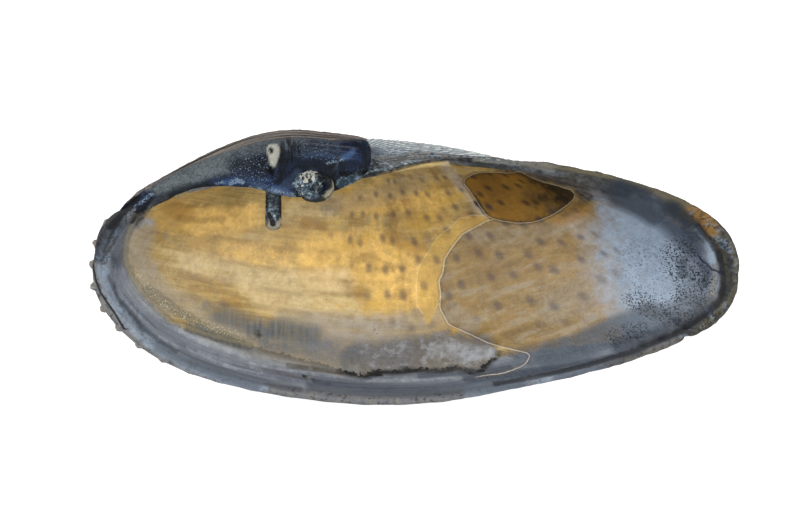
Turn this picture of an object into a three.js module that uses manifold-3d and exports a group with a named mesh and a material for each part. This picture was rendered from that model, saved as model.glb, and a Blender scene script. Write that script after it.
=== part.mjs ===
// The right valve of a white piddock, lying on its back with the hollow side up.
// Millimetres, +Z up. +X points to the rear (siphon) end, +Y to the hinge side.
// A valve grows as a coil: each older margin is a smaller copy of today's margin,
// turned down and under about the beak. The outside is swept from that rule, and
// the ribs and rows of scales follow it. The fold over the beak, the hinge tooth
// and the finger inside are grown onto the valve, so all of it is one solid.
import * as THREE from "three";
import { mergeVertices } from "three/addons/utils/BufferGeometryUtils.js";
import Module from "manifold-3d";

// The beak, where growth began. Heights are measured from it until the end.
const BEAK = new THREE.Vector3(-5.1, 10.15, 0);

// Today's margin seen from above: from the hinge's rear end round the rear, the belly and the front.
const MARGIN = [
  [5.7, 10.1], [9.8, 9.7], [13.9, 9.1], [18.1, 8.2], [21.8, 7.0], [25.0, 5.6], [27.6, 3.9],
  [29.3, 1.8], [29.9, -0.6], [29.3, -2.9], [27.6, -4.8], [25.0, -6.3], [20.8, -8.1], [15.3, -9.7],
  [8.9, -11.1], [2.4, -12.2], [-4.0, -12.4], [-10.4, -11.8], [-16.0, -10.8], [-20.6, -9.3],
  [-24.2, -7.4], [-27.0, -5.0], [-28.9, -2.4], [-29.4, 0.3], [-28.7, 2.6], [-27.0, 4.7],
  [-24.8, 6.2], [-21.9, 7.3], [-18.3, 8.1], [-13.7, 8.4], [-9.5, 8.4], [-6.3, 8.6], [-3.9, 9.0],
  [-0.8, 9.6], [2.4, 10.0],
];
const FRONT_END = 25 / MARGIN.length; // the fold begins this far round the margin
const MARGIN_FALL_SIDE = Math.tan(THREE.MathUtils.degToRad(15)); // the belly edge lies lower
const MARGIN_FALL_END = Math.tan(THREE.MathUtils.degToRad(0.3)); // so does the rear edge, a little

// Coiling: at growth stage s, from 0 at the beak to 1 today, the margin has turned by this much.
const COIL_TURN = THREE.MathUtils.degToRad(132);
const COIL_POWER = 0.8;

const WALL = 0.9; // wall thickness away from the edge
const EDGE_WALL = 0.6; // wall thickness at the margin
const OLDEST_STAGE = 0.07; // the outside starts here, on a cap at the beak
const HOLLOW_STAGE = 0.24; // the hollow ends here, because the beak is filled

// Ribs and rows of scales on the outside.
const RIBS_BY_ANGLE = 12; // ribs spaced evenly in angle about the beak
const RIBS_BY_LENGTH = 18; // ribs spaced evenly along the margin
const RIBS_EXTRA = 20; // how fast more ribs come in towards the front
const EXTRA_FROM = 0.6; // the share of the half turn where they start
const SCALE_ROWS = 15;
const RIB_HEIGHT = 0.22;
const SCALE_HEIGHT_REAR = 0.12;
const SCALE_HEIGHT_FRONT = 0.6;
const SCALE_LIP = 0.012; // how soon, in growth stage, a scale's lip drops to the next row
const HINGE_COLUMNS = 20; // mesh columns along the smooth hinge side
const HOLLOW_RINGS = 12;
const END_SLANT = 0.9; // the wall leans outwards at the ends, so a level cut is wider by this share

// The fold: a plate turned outwards over the beak, from its lip to its free edge, seen from above.
const FOLD_EDGE = [
  [-27.6, 4.8], [-26.4, 6.3], [-24.2, 7.7], [-21.9, 9.0], [-19.2, 10.4], [-16.4, 11.6], [-13.7, 12.4],
  [-10.9, 12.7], [-8.1, 12.5], [-6.3, 12.3], [-5.0, 12.1], [-4.3, 11.8], [-3.9, 11.0],
];
const FOLD_LIP = [
  [-27.6, 4.3], [-25.5, 4.9], [-22.9, 6.0], [-21.5, 6.7], [-19.6, 7.3], [-16.9, 7.4],
  [-15.0, 7.3], [-13.7, 7.0], [-12.3, 6.6], [-10.4, 6.4], [-8.5, 6.6], [-6.4, 7.3],
  [-5.3, 7.8], [-4.4, 8.5], [-3.9, 9.6],
];
// How far the fold's middle dips, and how far its edges stand over the margin's plane, along the valve.
const FOLD_DIP = [[-27.6, 0.1], [-22.0, 0.3], [-15.0, 0.6], [-9.0, 0.8], [-6.0, 0.8], [-3.9, 0.3]];
const FOLD_LIFT = [[-27.6, 0.2], [-20.0, 0.35], [-12.0, 0.6], [-7.5, 1.0], [-3.9, 1.0]];
const FOLD_SECTIONS = 30;

// The finger that carries the foot muscle: a flat blade hanging from under the fold.
const FINGER = { x: -13.0, width: 1.45, thickness: 0.6, top: 8.6, end: 3.4, topFall: 1.4, endFall: 3.4 };

// The hinge tooth: a spoon on the lip, hollowed from above, with a knob in its front half.
const SPOON = { x: -9.0, y: 7.4, z: 0.2, radiusX: 1.75, radiusY: 1.45, radiusZ: 1.2 };
const SPOON_SCOOP = { x: -8.5, y: 8.0, z: 1.3, radius: 1.2 };
const KNOB = { x: -9.7, y: 8.1, z: 0.7, radius: 0.9 };
const SPHERE_STEPS = 20;

const wasm = await Module();
wasm.setup();

// A smooth curve y(x) through the given points, with x rising.
function curveThrough(points) {
  const slope = points.map((_, i) => {
    const a = points[Math.max(0, i - 1)];
    const b = points[Math.min(points.length - 1, i + 1)];
    return (b[1] - a[1]) / (b[0] - a[0]);
  });
  return (x) => {
    const at = THREE.MathUtils.clamp(x, points[0][0], points[points.length - 1][0]);
    let i = 0;
    while (i < points.length - 2 && at > points[i + 1][0]) i += 1;
    const width = points[i + 1][0] - points[i][0];
    const t = (at - points[i][0]) / width;
    const rise = points[i + 1][1] - points[i][1];
    const bend = (slope[i] * width - rise) * (1 - t) - (slope[i + 1] * width - rise) * t;
    return points[i][1] + rise * t + bend * t * (1 - t);
  };
}

function wrap(u) {
  return ((u % 1) + 1) % 1;
}

// Height of the plane that the margin lies in.
function marginPlane(x, y) {
  return (y - BEAK.y) * MARGIN_FALL_SIDE - (x - BEAK.x) * MARGIN_FALL_END;
}

const marginCurve = new THREE.CatmullRomCurve3(
  MARGIN.map(([x, y]) => new THREE.Vector3(x, y, marginPlane(x, y))),
  true,
);
const coilAxis = new THREE.Vector3(1, 0, -MARGIN_FALL_END).normalize();

// Into the hollow, across the margin and in its plane.
function inwards(u) {
  const planeNormal = new THREE.Vector3(MARGIN_FALL_END, -MARGIN_FALL_SIDE, 1).normalize();
  return marginCurve.getTangent(wrap(u)).cross(planeNormal);
}

// Where a point of today's margin was at growth stage s.
function coiled(point, s) {
  const turn = COIL_TURN * (1 - Math.pow(s, COIL_POWER));
  return point.clone().sub(BEAK).applyAxisAngle(coilAxis, turn).multiplyScalar(s).add(BEAK);
}

// A point of the smooth outside: u goes round the margin, s is the growth stage.
function outside(u, s) {
  return coiled(marginCurve.getPoint(wrap(u)), s);
}

function outwardNormal(u, s) {
  const du = 0.004;
  const ds = 0.01;
  const along = outside(u + du, s).sub(outside(u - du, s));
  const across = outside(u, s).sub(outside(u, s - ds));
  return across.cross(along).normalize();
}

// How far round from rear (0) to front (1) a margin point lies, seen from the beak.
function sweepShare(u) {
  const p = marginCurve.getPoint(u);
  return Math.atan2(BEAK.y - p.y, p.x - BEAK.x) / Math.PI;
}

// The rib number at a point of the margin, counted from the rear, with fractions between ribs.
function ribNumber(u) {
  const share = sweepShare(u);
  const extra = RIBS_EXTRA * Math.max(0, share - EXTRA_FROM) ** 2;
  return RIBS_BY_ANGLE * share + (RIBS_BY_LENGTH * u) / FRONT_END + extra;
}

// Columns of the mesh: one on each rib and one in each gap, then a few along the hinge.
function makeColumns() {
  const step = 0.0005;
  const columns = [];
  for (let u = step; u < FRONT_END; u += step) {
    const half = Math.floor(ribNumber(u) * 2);
    if (half > Math.floor(ribNumber(u - step) * 2)) columns.push({ u, onRib: half % 2 === 1 });
  }
  for (let k = 0; k < HINGE_COLUMNS; k += 1) {
    const u = THREE.MathUtils.lerp(FRONT_END, 1, (k + 0.5) / HINGE_COLUMNS);
    columns.push({ u, onRib: false });
  }
  return columns;
}

const columns = makeColumns();

// Height of the ribs and scales. On a row's lip the scales stand up, just past it they are low.
function relief(column, s, onLip) {
  if (!column.onRib) return 0;
  const share = sweepShare(column.u);
  const scale = THREE.MathUtils.lerp(SCALE_HEIGHT_REAR, SCALE_HEIGHT_FRONT, share ** 1.5);
  return (RIB_HEIGHT + (onLip ? scale : 0)) * Math.min(1, 1.6 * s);
}

function outsideRings() {
  const rings = [];
  const step = (1 - OLDEST_STAGE) / SCALE_ROWS;
  for (let row = 0; row <= SCALE_ROWS; row += 1) {
    const lip = OLDEST_STAGE + row * step;
    for (const [s, onLip] of [[lip, true], [lip + SCALE_LIP, false]]) {
      if (s > 1) continue;
      rings.push(
        columns.map((c) => outside(c.u, s).addScaledVector(outwardNormal(c.u, s), relief(c, s, onLip))),
      );
    }
  }
  return rings;
}

// The margin of stage s moved into the hollow, far enough to leave the wall behind it.
function insidePoint(u, s, wall) {
  const into = inwards(u);
  const cut = wall * (1 + END_SLANT * into.x ** 2);
  return coiled(marginCurve.getPoint(wrap(u)).addScaledVector(into, cut / s), s);
}

// The inside, from the margin back to the filled beak.
function insideRings() {
  const rings = [];
  for (let k = 0; k <= HOLLOW_RINGS; k += 1) {
    const s = THREE.MathUtils.lerp(1, HOLLOW_STAGE, k / HOLLOW_RINGS);
    const wall = THREE.MathUtils.lerp(EDGE_WALL, WALL, Math.min(1, (1 - s) / 0.1));
    rings.push(columns.map((c) => insidePoint(c.u, s, wall)));
  }
  return rings;
}

function middleOf(ring) {
  const sum = ring.reduce((total, p) => total.add(p), new THREE.Vector3());
  return sum.divideScalar(ring.length);
}

// A closed surface over rings of equal length, each end closed by a fan to one point.
function closedSurface(rings, first, last) {
  const count = rings[0].length;
  const points = [first, ...rings.flat(), last];
  const end = points.length - 1;
  const faces = [];
  for (let i = 0; i < count; i += 1) {
    const j = (i + 1) % count;
    faces.push([0, 1 + i, 1 + j]);
    faces.push([end, end - count + j, end - count + i]);
    for (let r = 0; r < rings.length - 1; r += 1) {
      const a = 1 + r * count;
      const b = a + count;
      faces.push([a + i, b + j, a + j], [a + i, b + i, b + j]);
    }
  }
  const geometry = new THREE.BufferGeometry();
  geometry.setAttribute(
    "position",
    new THREE.Float32BufferAttribute(points.flatMap((p) => p.toArray()), 3),
  );
  geometry.setIndex(faces.flat());
  return geometry;
}

function valveGeometry() {
  const outer = outsideRings();
  const inner = insideRings();
  return closedSurface([...outer, ...inner], middleOf(outer[0]), middleOf(inner[inner.length - 1]));
}

// The fold's cross-sections, from its front end to the rounded rear end beside the beak.
function foldGeometry() {
  const edge = curveThrough(FOLD_EDGE);
  const lip = curveThrough(FOLD_LIP);
  const dip = curveThrough(FOLD_DIP);
  const lift = curveThrough(FOLD_LIFT);
  const first = FOLD_EDGE[0][0];
  const last = FOLD_EDGE[FOLD_EDGE.length - 1][0];
  const rings = [];
  for (let k = 0; k <= FOLD_SECTIONS; k += 1) {
    const x = THREE.MathUtils.lerp(first, last, (1 - Math.cos((Math.PI * k) / FOLD_SECTIONS)) / 2);
    const lipY = lip(x);
    const edgeY = edge(x);
    const width = edgeY - lipY;
    const lipZ = marginPlane(x, lipY) + lift(x);
    const edgeZ = marginPlane(x, edgeY) + lift(x);
    const across = (t, drop) => [lipY + width * t, lipZ + (edgeZ - lipZ) * t - drop];
    const thin = Math.min(1, width / 2);
    rings.push(
      [
        [lipY + 0.3 * thin, lipZ - 0.95 * thin],
        [lipY, lipZ - 0.4 * thin],
        across(0.06, 0),
        across(0.3, dip(x) * 0.8),
        across(0.6, dip(x)),
        across(0.85, dip(x) * 0.6),
        across(0.96, 0),
        [edgeY, edgeZ - 0.35 * thin],
        across(0.8, dip(x) * 0.6 + 0.8 * thin),
        across(0.5, dip(x) + 1.5 * thin),
        across(0.28, dip(x) + 1.3 * thin),
      ].map(([y, z]) => new THREE.Vector3(x, y, z)),
    );
  }
  return closedSurface(rings, middleOf(rings[0]), middleOf(rings[rings.length - 1]));
}

// The finger: a thin ellipse swept from under the fold down into the hollow.
function fingerGeometry() {
  const path = new THREE.CatmullRomCurve3([
    new THREE.Vector3(FINGER.x, FINGER.top, -FINGER.topFall),
    new THREE.Vector3(FINGER.x, (FINGER.top + FINGER.end) / 2, -(FINGER.topFall + FINGER.endFall) / 2 - 0.2),
    new THREE.Vector3(FINGER.x, FINGER.end, -FINGER.endFall),
  ]);
  const steps = 12;
  const sides = 12;
  const rings = [];
  for (let k = 0; k <= steps; k += 1) {
    const t = k / steps;
    const point = path.getPoint(t);
    const tangent = path.getTangent(t);
    const lift = new THREE.Vector3(1, 0, 0).cross(tangent).normalize();
    const tip = Math.sqrt(Math.max(0.04, 1 - Math.max(0, (t - 0.86) / 0.14) ** 2));
    const ring = [];
    for (let i = 0; i < sides; i += 1) {
      const angle = (2 * Math.PI * i) / sides;
      ring.push(
        point
          .clone()
          .add(new THREE.Vector3((Math.cos(angle) * FINGER.width * tip) / 2, 0, 0))
          .addScaledVector(lift, (Math.sin(angle) * FINGER.thickness * tip) / 2),
      );
    }
    rings.push(ring);
  }
  return closedSurface(rings, path.getPoint(0), path.getPoint(1));
}

// A closed geometry as a solid for joining and cutting.
function solidFrom(geometry) {
  const bare = geometry.clone();
  bare.deleteAttribute("normal");
  bare.deleteAttribute("uv");
  const merged = mergeVertices(bare, 1e-4);
  return new wasm.Manifold(
    new wasm.Mesh({
      numProp: 3,
      vertProperties: merged.attributes.position.array,
      triVerts: new Uint32Array(merged.index.array),
    }),
  );
}

function ballAt({ x, y, z, radius, radiusX = radius, radiusY = radius, radiusZ = radius }) {
  const ball = new THREE.SphereGeometry(1, SPHERE_STEPS, SPHERE_STEPS / 2);
  return solidFrom(ball.scale(radiusX, radiusY, radiusZ).translate(x, y, z));
}

function geometryOf(solid) {
  const mesh = solid.getMesh();
  const geometry = new THREE.BufferGeometry();
  geometry.setAttribute("position", new THREE.BufferAttribute(Float32Array.from(mesh.vertProperties), 3));
  geometry.setIndex(new THREE.BufferAttribute(Uint32Array.from(mesh.triVerts), 1));
  return geometry;
}

const shellSolid = solidFrom(valveGeometry())
  .add(solidFrom(foldGeometry()))
  .add(solidFrom(fingerGeometry()))
  .add(ballAt(SPOON))
  .subtract(ballAt(SPOON_SCOOP))
  .add(ballAt(KNOB));

// The origin is the middle of the bounding box, on the surface that the shell lies on.
const shellGeometry = geometryOf(shellSolid);
shellGeometry.computeBoundingBox();
const { min, max } = shellGeometry.boundingBox;
shellGeometry.translate(-(min.x + max.x) / 2, -(min.y + max.y) / 2, -min.z);
shellGeometry.computeVertexNormals();

const shell = new THREE.Mesh(
  shellGeometry,
  new THREE.MeshStandardMaterial({ color: 0x8b8878, roughness: 0.5, metalness: 0 }),
);
shell.name = "shell";

const part = new THREE.Group();
part.add(shell);
export default part;
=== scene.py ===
import math

import bmesh
import bpy
import numpy as np
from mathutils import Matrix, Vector, noise
from mathutils.bvhtree import BVHTree


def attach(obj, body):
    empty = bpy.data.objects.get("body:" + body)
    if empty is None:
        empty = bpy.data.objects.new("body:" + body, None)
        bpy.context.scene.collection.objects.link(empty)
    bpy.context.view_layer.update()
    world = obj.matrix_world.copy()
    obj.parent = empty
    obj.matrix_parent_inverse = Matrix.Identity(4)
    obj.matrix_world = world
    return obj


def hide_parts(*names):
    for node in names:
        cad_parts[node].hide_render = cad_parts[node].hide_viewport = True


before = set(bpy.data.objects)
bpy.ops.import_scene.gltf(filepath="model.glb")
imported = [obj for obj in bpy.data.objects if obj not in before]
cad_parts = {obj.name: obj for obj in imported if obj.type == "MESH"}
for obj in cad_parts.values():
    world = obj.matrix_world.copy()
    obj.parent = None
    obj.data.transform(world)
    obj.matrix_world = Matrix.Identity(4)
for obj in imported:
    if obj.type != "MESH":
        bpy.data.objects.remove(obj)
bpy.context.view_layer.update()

bl_info = {
    "name": "Piddock Shell Valve",
    "version": (1, 0, 0),
    "blender": (4, 5, 0),
    "location": "3D View > Sidebar > Shell",
    "description": "Builds one stained valve of a white piddock, lying hollow side up",
    "category": "Object",
}

MM = 0.001
# The 800 x 532 picture: the pixel over the middle of the shell, and its scale.
PICTURE_MIDDLE = (414.0, 268.0)
MM_PER_PIXEL = 0.09202
NODE = "shell"
BODY = "root"

# The valve is worked out in millimetres, with heights from the beak, and then moved here.
TO_PART = np.array([-0.0505, 0.0287, 12.6568])

# ---- The valve's growth, from the same values as the solid ----

BEAK = np.array([-5.1, 10.15, 0.0])
MARGIN = [
    (5.7, 10.1), (9.8, 9.7), (13.9, 9.1), (18.1, 8.2), (21.8, 7.0), (25.0, 5.6), (27.6, 3.9),
    (29.3, 1.8), (29.9, -0.6), (29.3, -2.9), (27.6, -4.8), (25.0, -6.3), (20.8, -8.1), (15.3, -9.7),
    (8.9, -11.1), (2.4, -12.2), (-4.0, -12.4), (-10.4, -11.8), (-16.0, -10.8), (-20.6, -9.3),
    (-24.2, -7.4), (-27.0, -5.0), (-28.9, -2.4), (-29.4, 0.3), (-28.7, 2.6), (-27.0, 4.7),
    (-24.8, 6.2), (-21.9, 7.3), (-18.3, 8.1), (-13.7, 8.4), (-9.5, 8.4), (-6.3, 8.6), (-3.9, 9.0),
    (-0.8, 9.6), (2.4, 10.0),
]
# The stained edge reaches a little farther out than the solid's: margin point, mm.
MARGIN_PUSH = [
    (0, 0.0), (1, 0.05), (2, 0.28), (3, 0.28), (4, 0.4), (5, 0.52), (6, 0.52), (7, 0.36), (8, 0.0), (9, 0.2),
    (10, 0.42), (11, 0.34), (12, 0.26), (13, 0.22), (14, 0.16), (15, 0.2), (16, 0.25), (17, 0.28), (18, 0.25),
    (19, 0.42), (20, 0.5), (21, 0.5), (22, 0.25), (23, 0.05), (24, 0.0), (35, 0.0),
]
FRONT_END = 25 / len(MARGIN)
FRONT_MOST = -29.82
# A nick in the margin at the rear lies at this x.
NOTCH_X = 25.2
# By margin point: bulges with their mm where the fold's tip meets the margin, the stretch that the fold
# covers, and where the bare strip behind the hinge begins.
TIP_BULGES = ((24.9, 0.5), (24.2, 0.45))
FOLD_COVERS = (25.6, 31.9)
BARE_FROM = 31.8
# The growth stage from which wear shows in the wall, and how long it takes to show in full.
WEAR_FROM, WEAR_OVER = 0.78, 0.2
# Ribs are counted on along the hinge side, where none stands out: the first number, and how fast.
HINGE_RIB, HINGE_RIBS = 32, 30
FALL_SIDE = math.tan(math.radians(15.0))
FALL_END = math.tan(math.radians(0.3))
COIL_TURN = math.radians(132.0)
COIL_POWER = 0.8
OLDEST_STAGE = 0.07
HOLLOW_STAGE = 0.24
END_SLANT = 0.9
RIBS_BY_ANGLE = 12.0
RIBS_BY_LENGTH = 18.0
RIBS_EXTRA = 20.0
EXTRA_FROM = 0.6
# Half width of a rib as a share of the ribs' spacing.
RIB_WIDTH = 0.2
# The margin is frilled between these shares of the sweep from rear to front.
FRILL_FROM, FRILL_TO = 0.58, 0.93

# Mesh of the valve: columns go round the margin, rows from the beak out to the rim and back inside.
COLUMNS_PER_RIB = 12
HINGE_COLUMNS = 72
SCALE_ROWS = 26
SCALE_STEPS = (0.0, 0.5, 0.82, 0.975)
ROW_POWER = 1.4
RIM_ROWS = 4
HOLLOW_ROWS = 88

# ---- The fold, spoon, knob and finger, from the same values as the solid ----

FOLD_EDGE = [
    (-27.6, 4.8), (-26.4, 6.3), (-24.2, 7.7), (-21.9, 9.0), (-19.2, 10.4), (-16.4, 11.6), (-13.7, 12.4),
    (-10.9, 12.7), (-8.1, 12.5), (-6.3, 12.3), (-5.0, 12.1), (-4.3, 11.8), (-3.9, 11.0),
]
FOLD_LIP = [
    (-27.6, 4.3), (-25.5, 4.9), (-22.9, 6.0), (-21.5, 6.7), (-19.6, 7.3), (-16.9, 7.4), (-15.0, 7.3),
    (-13.7, 7.0), (-12.3, 6.6), (-10.4, 6.4), (-8.5, 6.6), (-6.4, 7.3), (-5.3, 7.8), (-4.4, 8.5),
    (-3.9, 9.6),
]
FOLD_DIP = [(-27.6, 0.1), (-22.0, 0.3), (-15.0, 0.6), (-9.0, 0.8), (-6.0, 0.8), (-3.9, 0.3)]
FOLD_LIFT = [(-27.6, 0.2), (-20.0, 0.35), (-12.0, 0.6), (-7.5, 1.0), (-3.9, 1.0)]
FOLD_TIP = -27.3
FOLD_SECTIONS = 250
FOLD_ROUND = 66

SPOON = ((-9.0, 7.4, 0.2), (1.75, 1.45, 1.2))
SCOOP = ((-8.35, 7.75, 1.25), 1.32)
KNOB = ((-9.75, 7.75, 0.35), (1.5, 1.2, 1.0))
KNOB_TOP = 1.45

FINGER_X = -12.87
FINGER_TOP = (8.6, -1.4)
FINGER_MIDDLE = (6.0, -2.6)
FINGER_TIP = (3.4, -3.4)
FINGER_WIDTH = 1.56
FINGER_THICK = 0.6
FINGER_ROWS = 90
FINGER_SIDES = 48


def seen(*flat):
    """Places on the shell, in mm, from x and y of pixels of the 800 x 532 picture, one after the other."""
    across, down = PICTURE_MIDDLE
    return [((x - across) * MM_PER_PIXEL, (down - y) * MM_PER_PIXEL) for x, y in zip(flat[::2], flat[1::2])]


# ---- Outlines and lines inside the valve ----
#
# The stained field, the rear muscle scar, the line of the mantle sinus with the worn strip beside it, the
# bare strip behind the hinge, the edge of the flaked layer, a ridge, three grooves and a crack.

FIELD = seen(
    126, 255, 127, 265, 132, 277, 140, 289, 156, 308, 169, 321, 187, 330, 202, 335, 228, 342, 250, 348, 275, 355,
    300, 361, 337, 370, 365, 375, 393, 372, 418, 370, 446, 370, 467, 370, 480, 369, 497, 357, 520, 353, 545, 349,
    575, 345, 611, 342, 636, 342, 662, 332, 681, 324, 700, 310, 712, 292, 714, 272, 708, 252, 697, 236, 680, 224,
    660, 214, 640, 208, 610, 202, 588, 200, 578, 190, 562, 185, 547, 181, 532, 176, 520, 171, 505, 170, 490, 169,
    473, 167, 455, 163, 439, 160, 404, 166, 380, 173, 356, 186, 333, 192, 299, 199, 267, 193, 227, 190, 200, 191,
    180, 194, 160, 202, 146, 212, 137, 224, 130, 238,
)
SCAR = seen(
    464, 181, 474, 174, 486, 172, 501, 172, 511, 173, 520, 172, 532, 178, 547, 183, 562, 187, 572, 191, 575, 195,
    572, 201, 562, 209, 550, 216, 537, 221, 522, 223, 509, 222, 496, 219, 488, 216, 484, 211, 479, 204, 471, 192,
)
SINUS_LINE = seen(
    490, 220, 483, 223, 474, 228, 463, 234, 458, 240, 451, 249, 445, 259, 443, 273, 439, 281, 441, 295, 440, 309,
    444, 316, 449, 325, 460, 330, 469, 334, 488, 343, 501, 347, 518, 351, 527, 353, 530, 356, 528, 361, 523, 366,
    514, 370, 501, 374, 482, 376,
)
STRIP_LINE = seen(
    487, 216, 472, 215, 460, 218, 452, 226, 444, 232, 436, 239, 434, 243, 427, 254, 422, 262, 419, 267, 417, 279,
    417, 305, 422, 313, 429, 329,
)
DORSAL_STRIP = seen(
    364, 140, 400, 144, 440, 150, 480, 156, 510, 162, 480, 161.5, 455, 159.5, 440, 159.5, 424, 161.5, 404, 166.5,
    380, 173.5, 364, 177.5,
)
RAGGED_EDGE = seen(
    247, 345, 275, 352, 300, 358, 320, 363, 337, 369, 350, 372, 365, 375, 380, 370, 393, 371, 405, 371, 418, 369,
    437, 369, 446, 369, 456, 366, 467, 369, 474, 371, 480, 369, 488, 362, 497, 355, 504, 348,
)
RAGGED_SIDE = [(-40.0, -3.0), (-24.0, -4.0)] + RAGGED_EDGE + [(12.0, -2.0), (12.0, 30.0)]
FRONT_RIDGE = seen(
    178, 192, 165, 196, 152, 201, 138, 213, 133, 224, 127, 238, 125, 253, 126, 263, 132, 277, 140, 289, 143, 295,
    156, 308, 169, 321, 187, 328, 202, 333, 228, 340, 250, 346,
)
OUTER_GROOVE = seen(93, 262, 96, 280, 101, 293, 107, 302, 116, 315, 124, 329)
FRONT_GROOVE = seen(109, 276, 113, 288, 119, 299, 133, 314, 144, 330, 158, 340, 176, 352)
REAR_GROOVE = seen(
    697, 226, 707, 238, 716, 250, 721, 262, 723, 278, 722, 293, 717, 306, 700, 318, 681, 332, 662, 340, 636, 351,
    611, 358, 585, 366, 560, 372, 530, 378, 495, 384,
)
CRACK = seen(699, 257, 703, 262, 708, 265, 712, 270, 718, 271, 721, 274)

SINUS = SINUS_LINE + seen(
    470, 379, 470, 410, 600, 410, 760, 330, 760, 150, 600, 180, 572, 201, 562, 209, 550, 216, 537, 221, 522, 223,
    509, 222, 496, 219,
)
STRIP = STRIP_LINE + SINUS_LINE[:10][::-1]

# ---- Soft stains, and some painted light and shade among them: strength, half width and soft edge in mm, then x and y of each pixel of the stroke ----

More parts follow.
